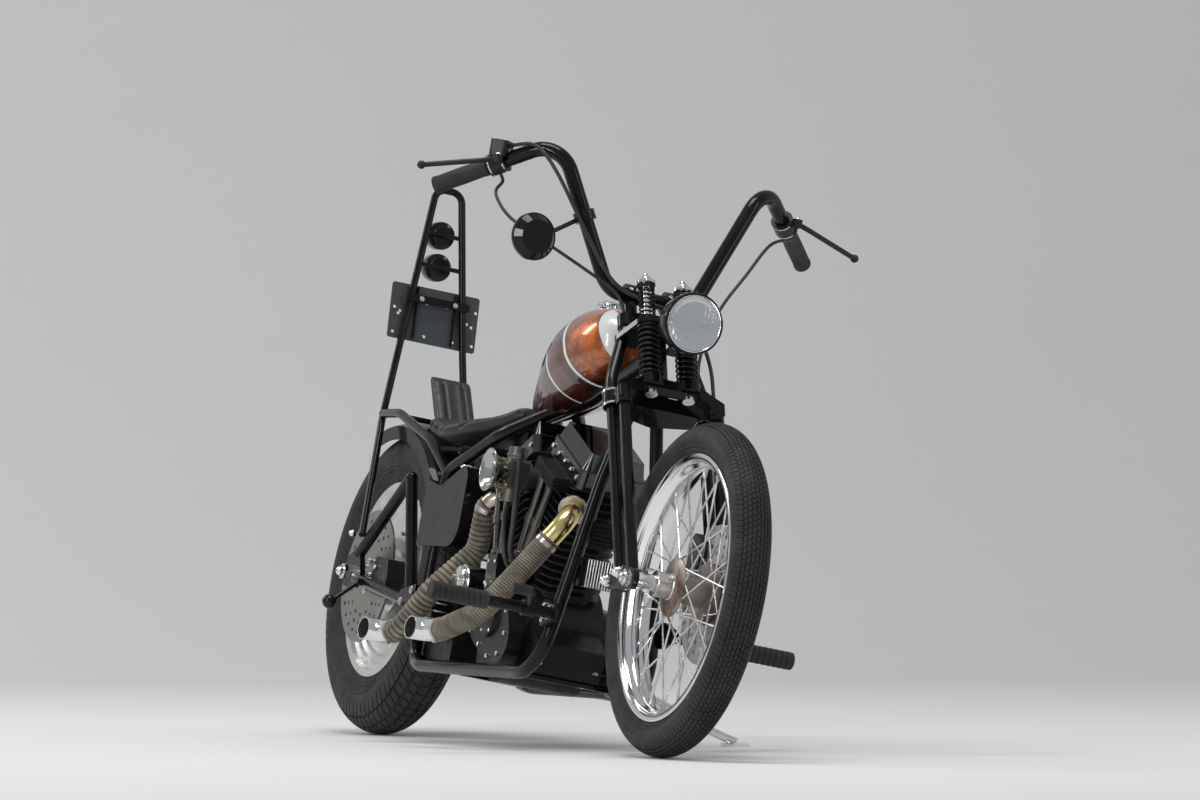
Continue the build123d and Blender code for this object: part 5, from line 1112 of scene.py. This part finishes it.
@dataclass
class Controls(Assembly):
    """Grips, hand controls and the mirror on the handlebar."""

    body: ClassVar[Body] = Body.FORK
    end: tuple = (907.0, 423.0, 1121.0)
    top: tuple = (1091.0, 235.0, 1250.0)
    grip: tuple = (
        (-5, 0), (-5, 15), (-3.5, 18.4), (2, 19), (8, 17.9), (60, 18.7), (108, 17.9),
        (112, 18.9), (121, 18.9), (122, 16.3))
    window: tuple = ((0, 6.5), (1, 6.5), (1.4, 5.5), (0.6, 5), (0.6, 0))
    lever: tuple = (0.715, 0.699)  # the way from the bar to a lever's pivot, ahead and outward

    def along(self, side: int, distance: float) -> Array:
        """A place on the grip's line at a distance from the bar's end."""
        end, top = (np.array(p) * [1, side, 1] for p in (self.end, self.top))
        return end + unit(top - end) * distance

    def build(self) -> None:
        """Makes the grips and dresses the rest."""
        grips, collars, pivots, pinch, ways = [], [], [], [], []
        for side in (-1, 1):
            start = self.along(side, 0)
            axis = self.along(side, 1) - start
            grips.append(turned(self.grip, start, axis, 40))
            collars += [turned([(0, 23), (0, 24.1), (3, 24.1), (3, 23)], self.along(side, d), axis,
                               48, closed=True) for d in (128, 158)]
            way = np.array([self.lever[0], side * self.lever[1], 0])
            pivots.append(self.along(side, 158) + way * 34 + [0, 0, 9])
            pinch += [self.along(side, d) - way * 23.6 for d in (136, 152)]
            ways += [-way, -way]
        self.piece("grip_sleeves", Skin.joined(*grips), GRIP, "grips")
        self.piece("housing_rings", Skin.joined(*collars), BOLT)
        self.keep(bar_controls=CALIPER, mirror_shell=SHELL, mirror_glass=MIRROR)
        lid = self.along(-1, 144) + [6, 0, 48]
        across, up = unit([0.74, -0.67, 0.0]), unit([0.67, 0.74, 0.0])
        cover = prisms(oblong(51, 35, 6), lid - [0, 0, 3.2], across, up, 3.2)
        self.piece("reservoir_lid", cover, CALIPER)
        corners = [lid + across * a * 20 + up * b * 12.5 for a in (-1, 1) for b in (-1, 1)]
        self.bolts("lid_screws", Head.DOME, 2.6, corners, [0, 0, 1])
        window = turned(self.window, lid - [0, 0, 22] + up * 17.8, up, 24)
        self.piece("reservoir_window", window, CHROME)
        self.bolts("lever_screws", Head.DOME, 6.5, pivots, [0, 0, 1])
        self.bolts("perch_bolts", Head.SOCKET, 3.6, pinch, np.array(ways))


@dataclass
class Engine(Assembly):
    """The V-twin, its covers, the gearbox, the starter and what bolts to them."""

    crank: tuple = (885.0, 0.0, 240.0)
    half_angle: float = math.radians(22.5)
    carb: tuple = (866.0, -120.0, 560.0)
    starter: tuple = (702.0, 0.0, 322.0)
    # Places in the side view, ahead and up
    cam: tuple = ((973, 270), (962, 178), (905, 172), (845, 196), (786, 224), (792, 276),
                  (830, 322), (905, 338), (950, 318), (985, 222))
    primary: tuple = ((690, 325), (790, 314), (690, 184), (790, 181))
    # Profiles of distance along the axis and radius
    timing: tuple = ((0, 40), (1.2, 41), (1.6, 36), (2.4, 34), (2.4, 0))
    carb_top: tuple = ((0, 20.4), (2, 22), (6, 22), (8, 20), (12, 19), (18, 15), (21, 8), (21.6, 0))
    lip: tuple = ((-180, 44), (-181.4, 45.2), (-180.6, 46.4), (-178.6, 45.8), (-177, 44))
    starter_end: tuple = (
        (-127, 40), (-128, 41.2), (-131, 41.2), (-132, 38), (-134, 38), (-135, 37), (-137, 37),
        (-138, 35), (-141.5, 34), (-143, 30), (-143, 12), (-144.5, 11), (-144.5, 0))

    def tilted(self, side: int, x: float, y: float, height: float) -> Array:
        """A place on a cylinder: along its own side view, across the machine and up its axis."""
        axis = np.array([math.sin(side * self.half_angle), 0, math.cos(side * self.half_angle)])
        ahead = np.array([axis[2], 0, -axis[0]])
        return np.array(self.crank) + height * axis + x * ahead + [0, y, 0]

    def build(self) -> None:
        """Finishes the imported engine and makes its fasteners, gaskets and bright fins."""
        self.keep(crankcase=ENGINE, cam_cover=ENGINE, cylinders=FIN, rocker_boxes=POLISHED,
                  pushrod_tubes=TUBE, carburettor=CARB, intake_bell=BELL, primary_cover=ENGINE,
                  transmission=ENGINE, starter=CHROME, finned_coolers=COOLER, chassis_cables=HOSE,
                  drive_belt=HOSE)
        self.top_end()
        self.cases()
        self.intake()
        self.fins()

    def top_end(self) -> None:
        """Gaskets, rocker box screws, ribs on the heads and the pushrod tubes' collars."""
        gaskets, places, axes, collars, ribs = [], [], [], [], []
        for side in (-1, 1):
            x_dir = self.tilted(side, 1, 0, 0) - self.tilted(side, 0, 0, 0)
            gaskets += [prisms(oblong(214.6, 150.6, 16), self.tilted(side, 0, 0, height), x_dir,
                               ACROSS, 1.6, 0.3) for height in (367.2, 407.4)]
            ribs += [prisms(oblong(126, 50, 6), self.tilted(side, 0, -91, height), x_dir, ACROSS,
                            2.2, 0.5) for height in (342.0, 348.5, 355.0, 361.5)]
            places += [self.tilted(side, x, y, 388)
                       for y in (-75, 75) for x in (-88, -44, 0, 44, 88)]
            axes += [way * ACROSS for way in (-1, 1) for _ in range(5)]
            for foot, top in ((49, -34), (81, 24)):
                low = np.array([self.crank[0] + side * foot, -103, 390])
                high = self.tilted(side, side * top, -97, 338)
                axis, length = unit(high - low), np.linalg.norm(high - low)
                for profile, at in (
                    ([(0, 9), (0, 12.5), (10, 12.5), (12, 10.5), (12, 9)], 0),
                    ([(0, 9.1), (1.5, 10.6), (3, 9.1)], length * 0.42),
                    ([(0, 9), (0, 11.5), (8, 11.5), (9, 10)], length - 12),
                ):
                    collars.append(turned(profile, low + axis * at, axis, 28))
        self.piece("rocker_gaskets", Skin.joined(*gaskets), HOSE)
        self.piece("head_ribs", Skin.joined(*ribs), FIN)
        self.bolts("rocker_screws", Head.SOCKET, 5.2, places, np.array(axes))
        self.piece("pushrod_collars", Skin.joined(*collars), TUBE)

    def cases(self) -> None:
        """Screws and rims of the cam cover, the primary cover and the cases."""
        cam = [(x, -122, z) for x, z in self.cam]
        self.bolts("cam_screws", Head.SOCKET, 5, cam, -ACROSS)
        centre = (889, 0, 256)
        self.bolts("timing_screws", Head.DOME, 4.2, circle(5, 37, centre, -130, 0.3), -ACROSS)
        self.piece("timing_cover", turned(self.timing, [889, -129.9, 256], -ACROSS, 64), ENGINE)
        blocks = [(self.crank[0] + s * 57 + d, -118, z)
                  for s in (-1, 1) for d in (-19, 19) for z in (328, 374)]
        self.bolts("tappet_screws", Head.SOCKET, 4.4, blocks, -ACROSS)
        # Arcs of screws at the cover's two ends: middle, radius, first and last angle, count
        arcs = ((885, 240, 64, -1.2, 1.2, 5), (585, 262, 74, 1.9, 4.4, 6))
        rim = [(x + r * math.cos(a), 160, z + r * math.sin(a))
               for x, z, r, low, high, count in arcs for a in np.linspace(low, high, count)]
        rim += [(x, 160, z) for x, z in self.primary]
        self.bolts("primary_screws", Head.SOCKET, 5, rim, ACROSS)
        self.bolts("clutch_screws", Head.DOME, 4.5, circle(5, 48, (585, 0, 262), 184), ACROSS)
        mounts = [(x, y, 137.2) for x in (755, 1035, 535) for y in (-112, 112)]
        self.bolts("mount_bolts", Head.HEX, 9, mounts, [0, 0, -1], BOLT)
        studs = [(1064, y, z) for y in (-64, 64) for z in (196, 168)]
        self.bolts("case_studs", Head.HEX, 7, studs, [0, 0, 1], BOLT)

    def intake(self) -> None:
        """The carburettor's cover, jets, screws and the bell's rolled rim."""
        x, y, z = self.carb
        self.piece("carb_top", turned(self.carb_top, [x, y, 596.5], [0, 0, 1], 40), CARB)
        four = [(x + a, -142, z + b) for a in (-26, 26) for b in (-26, 26)]
        self.bolts("carb_screws", Head.SOCKET, 4, four, -ACROSS, BRASS)
        jets = [screws(Head.HEX, place, way, size) for place, way, size in (
            ((x, -141, 512), (0, -1, 0), 6.5), ((896, y, 548), (1, 0, 0), 6),
            ((x, y, 500), (0, 0, -1), 9))]
        self.piece("carb_jets", Skin.joined(*jets), BRASS)
        flange = turned([(0, 21.2), (0, 23.5), (3, 23.5), (3, 21.2)], [x, y, 526], [0, 0, 1], 40,
                        closed=True)
        self.piece("bowl_flange", flange, CARB)
        self.piece("bell_lip", lathe(self.lip, [x, 0, z], 80, closed=True), BELL)
        dots = circle(13, 24, self.carb, -158)
        self.piece("bell_screen", turned([(0, 2.2), (1.2, 1.6), (1.2, 0)], dots, -ACROSS, 10), HOSE)

    def fins(self) -> None:
        """Bright fins of the gearbox and the regulator, and the starter's ribbed end."""
        gear = [(540, -127, 206 + 17 * k) for k in range(6)]
        fins = prisms(oblong(122.8, 46.8, 20.4), gear, [1, 0, 0], ACROSS, 4.0, 1.0)
        self.piece("gearbox_fins", fins, FIN_BRIGHT)
        corners = [(x, -150.4, z) for z in (215, 283) for x in (500, 580)]
        self.bolts("gearbox_screws", Head.HEX, 5.5, corners, -ACROSS)
        bars = [(1220, 6.3 * k, 366) for k in range(-10, 11)]
        fins = prisms(oblong(3.0, 58.8, 1.2), bars, ACROSS, [0, 0, 1], 19.6)
        self.piece("regulator_fins", fins, FIN_BRIGHT)
        feet, _ = mirrored([(1209.6, 86, 366), (1208.5, 82, 450)])
        self.bolts("cooler_bolts", Head.HEX, 6.5, feet, [1, 0, 0], BOLT)
        self.piece("starter_cap", lathe(self.starter_end, self.starter, 64), CHROME)
        three = circle(3, 26, self.starter, -143, 0.5)
        self.bolts("starter_screws", Head.SOCKET, 4, three, -ACROSS, BOLT)


@dataclass
class Exhaust(Assembly):
    """The wrapped pipes with bare tinted headers, clamps and slash-cut tips."""

    front: tuple = (
        (1096.9, -62, 500.8), (1166, -98, 472), (1100, -225, 250), (930, -240, 207),
        (861, -243, 203.5), (799, -305, 203.5))
    front_bends: tuple = (50, 100, 150, 40)
    rear: tuple = (
        (728.5, -50, 523.7), (690.4, -101.5, 507.9), (652, -90, 400), (625, -166, 300),
        (560, -199, 204), (475, -200, 201), (410, -265, 201))
    rear_bends: tuple = (42, 50, 60, 60, 40)
    radius: float = 22.6
    chrome: float = 128.0  # how long the tips are
    tape: float = 2.35  # how far the wrap's edge stands out
    # A tip's outside, inside and bore: places along it and the radius at each
    walls: tuple = (((0, 2, 3), (22.6, 24.4, 24.9)), ((0,), (22.5,)), ((0,), (22.1,)))
    port: tuple = ((0, 22), (0, 31), (6, 32), (8, 30), (8, 23))
    band: tuple = ((-5, 24), (-5, 25.5), (5, 25.5), (5, 24))
    screw: tuple = ((-7, 0), (-7, 4.2), (7, 4.2), (7, 0))

    def build(self) -> None:
        """Makes both pipes."""
        # Name, corners, bends, bare length, the wrap's pitch, finish, mouth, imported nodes
        for name, corners, bends, bare, pitch, tint, mouth, nodes in (
            ("front", self.front, self.front_bends, 128, 6.0, TINT_FRONT, -275.0,
             ["exhaust_pipes"]),
            ("rear", self.rear, self.rear_bends, 66, 11.5, TINT_REAR, -235.0, []),
        ):
            line = stations(rounded(corners, bends, 20), 1.25)
            at = lengths(line)
            end = at[-1] - self.chrome
            header = tube(line[at <= bare + 8], self.radius - 0.6, 48)
            self.piece(f"{name}_header", header, tint, *nodes)
            port = turned(self.port, line[8], line[9] - line[8], 40)
            self.piece(f"{name}_port_ring", port, BOLT)
            self.wrapped(name, line[(at >= bare) & (at <= end)], pitch)
            self.tip(name, line[at >= end - 20], mouth)

    def wrapped(self, name: str, line: Array, pitch: float) -> None:
        """Tape wound round the pipe: its radius steps down once in a turn and its edge waves."""
        length = lengths(line)[:, None]
        angle = np.arange(44) / 44 * FULL_TURN
        wave = 0.35 * np.sin(3 * angle + 0.21 * length) + 0.3 * np.sin(angle + 0.13 * length)
        phase = np.mod((length + wave) / pitch + angle / FULL_TURN, 1.0)
        rise = np.where(phase < 0.2, phase / 0.2, 1 - 0.9 * (phase - 0.2) / 0.8)
        skin = tube(line, self.radius + self.tape * rise, 44)
        # Painted shade: darker where the tape sinks under the next turn's edge
        skin.overlap_shade = np.clip(1.15 - 1.7 * rise, 0, 1).ravel()
        self.piece(f"{name}_wrap", skin, WRAP, sharp=80)
        clamps = []
        for k in (10, len(line) - 14):
            axis = line[k + 1] - line[k]
            clamps += [turned(self.band, line[k], axis, 48, closed=True),
                       turned(self.screw, line[k] + [0, -9, -26], axis, 6)]
        self.piece(f"{name}_wrap_clamps", Skin.joined(*clamps), BOLT)

    def tip(self, name: str, line: Array, mouth: float) -> None:
        """A chrome tip, turned out and cut off level with the machine's side.

        Each ring's points past the cut go back along the pipe until they are in it.

        Args:
            name: which pipe it ends.
            line: the pipe's last points.
            mouth: how far across the machine the cut is.
        """
        path = stations(line, 3.0)
        run = np.linspace(0, 1, len(path)) * len(path)
        way = unit(path[-1] - path[-2])
        cut = []
        for places, radii in self.walls:
            wall = tube(path, np.interp(run, places, radii), 56, up=[0, 0, 1])
            rows = wall.points.reshape(len(path), 56, 3)
            cut.append(rows - np.minimum(rows[..., 1:2] - mouth, 0) / way[1] * way)
        outside, inside, bore = cut
        chrome = np.concatenate([outside, inside[::-1]])
        self.piece(f"{name}_tip", Skin.grids(chrome[None], ends=False, loop=True), CHROME)
        self.piece(f"{name}_bore", Skin.grids(bore[None, :, ::-1], ends=False), SOOT)


@dataclass
class Bodywork(Assembly):
    """The tank, caps, frame, fender and the small parts on them."""

    # Each cap's name, place, radius, ridges and height
    caps: tuple = (("fuel_cap_grip", (944.0, 0, 938.4), 31.6, 44, 7),
                   ("oil_cap_grip", (556.0, -102, 572.4), 22.6, 32, 5))
    collar: tuple = ((0, 25), (0, 34), (9.6, 34), (10.4, 32), (10.4, 25))
    rib: tuple = ((6, 17.2), (7.5, 19), (15, 19), (16.5, 17.2))
    pedal: tuple = ((0, 9), (0, 10.6), (4, 11.4), (36, 11.4), (40, 10.6), (41, 0))

    def build(self) -> None:
        """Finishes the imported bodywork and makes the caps, bolts and rubbers."""
        self.keep(fuel_tank=CANDY, filler_caps=CHROME, oil_tank=GLOSS, frame_spine=GLOSS,
                  frame_cradle=GLOSS, swingarm=GLOSS, rear_fender=GLOSS, rear_axle=CHROME,
                  rear_caliper=CALIPER, foot_controls=GLOSS, sissy_bar=GLOSS)
        for name, place, radius, ridges, height in self.caps:
            corner = np.arange(2 * ridges)
            angle, wavy = corner / len(corner) * FULL_TURN, radius - 1.2 * (corner % 2)
            outline = np.stack([wavy * np.cos(angle), wavy * np.sin(angle)], 1)
            cap = prisms(outline, place, [1, 0, 0], ACROSS, height, 0.6)
            self.piece(name, cap, CHROME, sharp=30)
        ring = turned(self.collar, [944, 0, 926], [0, 0, 1], 64)
        self.piece("fuel_cap_ring", ring, CHROME)
        ribs = [(x + 13 * k, r) for k in range(9) for x, r in self.rib]
        peg = [(0, 12.5), (0, 18.5), (3, 19)] + ribs + [(124, 19), (127, 17.5), (127, 0)]
        pegs = turned(peg, *mirrored([1270, 284, 267]), 36)
        self.piece("peg_sleeves", pegs, GRIP, "peg_rubbers")
        pads = turned(self.pedal, *mirrored([1334, 214, 300]), 24)
        self.piece("pedal_sleeves", pads, GRIP)
        plates = [(x, 137.6, z) for x, z in ((1226, 252), (1226, 284), (1256, 258), (1256, 280))]
        self.bolts("control_bolts", Head.SOCKET, 5.5, *mirrored(plates))
        pivots = [(x, 145.5, z) for x, z in ((402, 275), (458, 300), (458, 250))]
        self.bolts("pivot_bolts", Head.HEX, 9.5, *mirrored(pivots), BOLT)
        self.bolts("axle_ends", Head.DOME, 10, *mirrored([0, 151.8, 335]))
        caliper = [(120, -111.2, 318), (168, -111.2, 312), (116, -111.2, 352)]
        self.bolts("rear_caliper_bolts", Head.SOCKET, 6, caliper, -ACROSS)
        self.bolts("sissy_bolts", Head.ACORN, 8, *mirrored([83, 162.4, 416]))


def squared(value: Array, power: float) -> Array:
    """A sine or cosine raised to a low power with its sign kept, which squares a section."""
    return np.sign(value) * np.abs(value) ** power


def quarter(share: Array) -> Array:
    """The height of a quarter circle at a share of its run, and one beyond it."""
    return np.sqrt(np.clip(1 - np.clip(1 - share, 0, 1) ** 2, 0, 1))


def blurred(values: Array, width: int, mode: str) -> Array:
    """A running mean, with the ends continued by numpy's mode of padding."""
    return np.convolve(np.pad(values, width // 2, mode=mode), np.ones(width) / width, "valid")


@dataclass
class Seat(Assembly):
    """The solo seat with diagonal seams, the backrest and the coil springs."""

    # Tables of distance ahead with the seat's half width, top and underside there
    plan: tuple = ((185, 74), (200, 79), (300, 92), (350, 103), (390, 128), (420, 136),
                   (450, 136), (520, 117), (600, 67), (640, 54), (655, 46))
    upper: tuple = ((185, 690), (200, 694), (300, 678), (360, 669), (420, 668), (480, 676),
                    (560, 694), (655, 722))
    under: tuple = ((185, 655), (300, 638), (370, 631), (450, 631), (560, 653), (655, 694))
    ends: tuple = (187, 653)
    pleat: float = 40.0
    channel: float = 23.0

    def build(self) -> None:
        """Makes the cushions and springs."""
        seat = self.piece("seat_cushion", self.cushion(), LEATHER, "seat", sharp=75)
        back = self.piece("backrest_cushion", self.backrest(), LEATHER, "backrest_pad", sharp=75)
        springs = [helix(np.array([415.0, s * 62, 565]), np.array([0, 0, 1.0]), 64, 19, 5, 6)
                   for s in (-1, 1)]
        self.piece("seat_coils", Skin.joined(*springs), SPRING, "seat_springs")
        self.piece("seat_welt", self.welt(), LEATHER, sharp=75)

    def section(self, x: Array) -> tuple[Array, Array, Array]:
        """Half width, underside and top of the seat at distances along the machine."""
        return tuple(np.interp(x, *np.transpose(t)) for t in (self.plan, self.under, self.upper))

    def cushion(self) -> Skin:
        """Rounded sections along the seat, crowned on top, with seams pressed in on the slant.

        Round each section the sine and cosine are raised to a low power, which squares the shape
        and keeps its edge round. The ends shrink along a quarter circle.
        """
        rows, cols = 150, 132
        start, stop = self.ends
        x = np.linspace(start, stop, rows)
        half, low, top = (blurred(v, 9, "edge") for v in self.section(x))
        end = quarter(np.minimum(x - start, stop - x) / 17) * 0.35 + 0.65
        angle = np.arange(cols) / cols * FULL_TURN
        c, s = np.cos(angle), np.sin(angle)
        wide, tall = squared(c, 0.52), squared(s, 0.62)
        middle, height = (low + top) / 2, (top - low) / 2
        y = (half * (0.55 + 0.45 * end))[:, None] * wide
        dip = 5.0 * np.exp(-((x - 420) / 90) ** 2)[:, None]
        dish = dip * (1 - (y / half[:, None]) ** 2)
        z = middle[:, None] + (height * end)[:, None] * tall - dish * (tall > 0.5)
        top_side = np.clip((tall + 0.3) / 0.4, 0, 1)
        across = x[:, None] * 0.72 + np.abs(y) * 0.9 - (z - top[:, None]) * 0.5
        slant = 0.5 - np.abs(np.mod(across / self.pleat, 1) - 0.5)
        seam = np.exp(-((slant * self.pleat / 3.0) ** 2))
        puff = top_side * (4.6 * np.sin(np.pi * slant) ** 0.6 - 3.4 * seam - 2.4)
        out = unit(np.stack([squared(c, 1.48) / 96, squared(s, 1.38) / 28], 1))
        y, z = y + puff * out[:, 0], z + puff * out[:, 1]
        return Skin.grids(np.stack([np.broadcast_to(x[:, None], y.shape), y, z], 2)[None])

    def welt(self) -> Skin:
        """A rolled seam round the seat where its top meets its sides."""
        ahead = np.linspace(196, 646, 70)
        x = np.concatenate([ahead, ahead[::-1]])
        half, low, top = self.section(x)
        half, top = blurred(half, 7, "wrap"), blurred(top, 7, "wrap")
        side = np.repeat([-1.0, 1.0], 70)
        path = np.stack([x, side * half * 0.965, low + (top - low) * 0.74], 1)
        return tube(np.concatenate([path, path[:1]]), 2.2, 10, up=[0, 0, 1])

    def backrest(self) -> Skin:
        """A wedge of rounded sections up the bar, with upright channels on its front."""
        rows, cols = 90, 128
        t = np.linspace(0, 1, rows)
        front = np.stack([178 - 104 * t, 664 + 124 * t], 1)
        back = np.stack([110 - 62 * t, 706 + 82 * t], 1)
        rim = np.minimum(t, 1 - t)
        edge = quarter(rim / 0.12) * 0.4 + 0.6
        half = 46 * (0.7 + 0.3 * edge)
        angle = np.arange(cols) / cols * FULL_TURN
        wide, deep = squared(np.cos(angle), 0.5), squared(np.sin(angle), 0.6)
        middle, reach = (front + back) / 2, (front - back) / 2
        y = half[:, None] * wide
        channel = np.abs(np.mod(y / self.channel + 0.5, 1) - 0.5)
        seam = np.exp(-((channel * self.channel / 2.4) ** 2))
        puff = 3.4 * np.sin(np.pi * channel) ** 0.6 - 3.2 * seam - 0.6
        face = np.clip((deep - 0.4) / 0.3, 0, 1) * np.clip(rim / 0.1, 0, 1)[:, None]
        normal = np.array([0.766, 0.643])
        flat = (middle[:, None] + (reach * edge[:, None])[:, None] * deep[..., None]
                + (face * puff - 1.5)[..., None] * normal)
        return Skin.grids(np.stack([flat[..., 0], y, flat[..., 1]], 2)[None])


@dataclass
class Tail(Assembly):
    """Tail lamps, plate bracket and rear blinkers on the sissy bar."""

    # The bar's upright: where it starts and how far it runs, ahead and up
    foot: tuple = (-92.0, 854.0)
    rise: tuple = (-68.0, 358.0)
    shell: tuple = ((0, 21), (2, 22), (8, 22), (10, 30.2), (12, 31), (34, 31), (36, 30))
    rim: tuple = ((33, 30), (33, 31), (36, 31), (37.5, 29.5), (36, 27.6))
    lens: tuple = ((35.5, 28.5), (38, 28.5), (42.5, 24), (44, 16), (44.2, 0))
    blinker: tuple = ((-2, 12), (0, 11.5), (2, 8), (2.6, 0))
    rivet: tuple = ((0, 3.6), (0.8, 3.4), (1.2, 2.4), (1.2, 0))
    # Places on the bracket, across and up from its middle
    rivets: tuple = ((-94, 6), (-84, -7), (-93, -50), (-19, 27), (28, 28), (-18, -48),
                     (50, -48), (97, 28), (90, -6), (96, -48))

    def on_bar(self, height: float) -> Array:
        """The place on the bar's middle line at a height."""
        part = (height - self.foot[1]) / self.rise[1]
        return np.array([self.foot[0] + self.rise[0] * part, 0, height])

    def build(self) -> None:
        """Makes the lamps and dresses the bracket."""
        lamps = [self.on_bar(z) - [5.3, 0, 0] for z in (1040.0, 1112.0)]
        for name, profile, finish, nodes in (
            ("tail_shells", self.shell, LAMP, ["tail_lamps"]),
            ("tail_rims", self.rim, LAMP, []),
            ("tail_lens_domes", self.lens, LENS, ["tail_lenses"]),
        ):
            self.piece(name, turned(profile, lamps, [-1, 0, 0], 56), finish, *nodes)
        self.keep(plate_bracket=PLATE_GREY, rear_blinkers=LAMP)
        up = unit([self.rise[0], 0, self.rise[1]])
        out = np.array([-up[2], 0, up[0]])
        centre = self.on_bar(930.0)
        spots = [centre + out * 8.35 + ACROSS * y + up * z for y, z in self.rivets]
        self.piece("bracket_rivets", turned(self.rivet, spots, -out, 20), FIN_BRIGHT)
        band = centre - out * 9.4 + up * 30
        strip = prisms(oblong(150, 18, 3), band, ACROSS, up, 1.6, 0.4)
        edges = [centre + out * 8.25 + ACROSS * y for y in (-45, 45)]
        flanges = prisms(oblong(3.0, 118, 1), edges, ACROSS, up, 9, 0.5)
        self.piece("bracket_strips", Skin.joined(strip, flanges), GLOSS)
        bolts = [centre - out * 11.2 + up * 30 + ACROSS * y for y in (-40, 40)]
        self.bolts("bracket_bolts", Head.HEX, 6, bolts, -out, BOLT)
        balls, _ = mirrored([118.5, 210, 258])
        self.piece("blinker_lenses", turned(self.blinker, balls, [-1, 0, 0], 32), LENS)


@dataclass
class Stand(Assembly):
    """The side stand."""

    body: ClassVar[Body] = Body.STAND

    def build(self) -> None:
        """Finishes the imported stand."""
        self.keep(side_stand=CHROME)


@dataclass
class Studio:
    """A pale sweep, soft lamps and the photograph's camera, in metres."""

    pale: tuple = (0.84, 0.84, 0.83)
    radius: float = 3.5
    wall: float = -5.0
    sky: tuple = (0.9, 0.92, 0.95, 1)
    # Each lamp's name, place, width and height, watts and colour
    lamps: tuple = (
        ("key", (4.5, -7.5, 3.6), (0.7, 4.5), 190, (1.0, 0.98, 0.95)),
        ("fill", (5.5, 5.5, 3.2), (0.7, 4.0), 55, (0.95, 0.98, 1.0)),
        ("top", (0.6, -0.6, 6.0), (3.0, 2.2), 150, (1.0, 1.0, 1.0)),
        ("rim", (-4.2, -4.0, 4.2), (1.0, 3.0), 90, (1.0, 1.0, 1.0)))
    # The fitted camera: its place, the way it looks, its turn about that and its lens
    place: tuple = (21.01558442, -8.28976489, 0.70118835)
    aim: tuple = (-0.93000568, 0.36754265, 0.00135143)
    roll: float = math.radians(0.2218)
    lens: float = 320.0

    def build(self) -> None:
        """Makes the sweep, the lamps, the sky and the camera."""
        self.sweep()
        for lamp in self.lamps:
            self.lamp(*lamp)
        world = bpy.data.worlds.new("room")
        bpy.context.scene.world = world
        world.use_nodes = True
        sky = world.node_tree.nodes["Background"].inputs
        sky["Color"].default_value, sky["Strength"].default_value = self.sky, 0.42
        self.camera()

    def sweep(self) -> None:
        """A floor that turns up into a wall behind the machine, clear from behind."""
        turn = np.linspace(0, math.pi / 2, 24)
        curve = self.wall - self.radius * np.sin(turn)
        x = np.concatenate([[26.0, 8.0, 3.0], curve, [self.wall - self.radius]])
        z = np.concatenate([[0.0, 0.0, 0.0], self.radius * (1 - np.cos(turn)), [12.0]])
        y = np.linspace(-22, 22, 12)
        points = np.stack(np.broadcast_arrays(x[:, None], y, z[:, None]), 2)
        skin = Skin.grids(points[None], ring=False, ends=False)
        mesh = bpy.data.meshes.new("sweep")
        mesh.from_pydata(skin.points.tolist(), [], skin.quads.tolist())
        mesh.shade_smooth()
        floor = bpy.data.objects.new("sweep", mesh)
        bpy.context.scene.collection.objects.link(floor)
        graph = Graph("studio_floor")
        behind = graph.add("ShaderNodeNewGeometry").outputs["Backfacing"]
        shade = graph.mix(graph.noise(1.5, 4), self.pale, tuple(0.97 * c for c in self.pale))
        graph.set(Base_Color=shade, Roughness=0.75, Alpha=graph.math("SUBTRACT", 1.0, behind))
        mesh.materials.append(graph.material)

    def lamp(self, name: str, place: Sequence, size: Sequence, power: float,
             tint: Sequence) -> None:
        """A flat soft lamp that faces the machine's middle."""
        light = bpy.data.lights.new(name, "AREA")
        light.shape, light.size, light.size_y = "RECTANGLE", size[0], size[1]
        light.energy, light.color = power, tint
        lamp = bpy.data.objects.new(name, light)
        lamp.location = place
        way = Vector((0, 0, 0.6)) - Vector(place)
        lamp.rotation_euler = way.to_track_quat("-Z", "Y").to_euler()
        bpy.context.scene.collection.objects.link(lamp)

    def camera(self) -> None:
        """The photograph's view, from a camera fitted to the wheels' outlines."""
        camera = bpy.data.objects.new("camera", bpy.data.cameras.new("camera"))
        camera.data.lens, camera.data.sensor_width = self.lens, 36.0
        camera.data.clip_end = 100.0
        turn = Vector(self.aim).to_track_quat("-Z", "Y").to_matrix()
        turn = turn @ Matrix.Rotation(self.roll, 3, "Z")
        camera.matrix_world = Matrix.Translation(self.place) @ turn.to_4x4()
        bpy.context.scene.collection.objects.link(camera)
        bpy.context.scene.camera = camera


def main() -> None:
    """Builds every assembly in order."""
    logging.basicConfig(level=logging.INFO, format="%(name)s %(message)s")
    bpy.context.scene.view_settings.view_transform = "Standard"
    for assembly in (FrontWheel(), RearWheel(), Fork(), Lamp(), Controls(), Engine(), Exhaust(),
                     Bodywork(), Seat(), Tail(), Stand()):
        LOG.info("building %s", type(assembly).__name__)
        assembly.build()
    Studio().build()


if __name__ == "__main__":
    main()
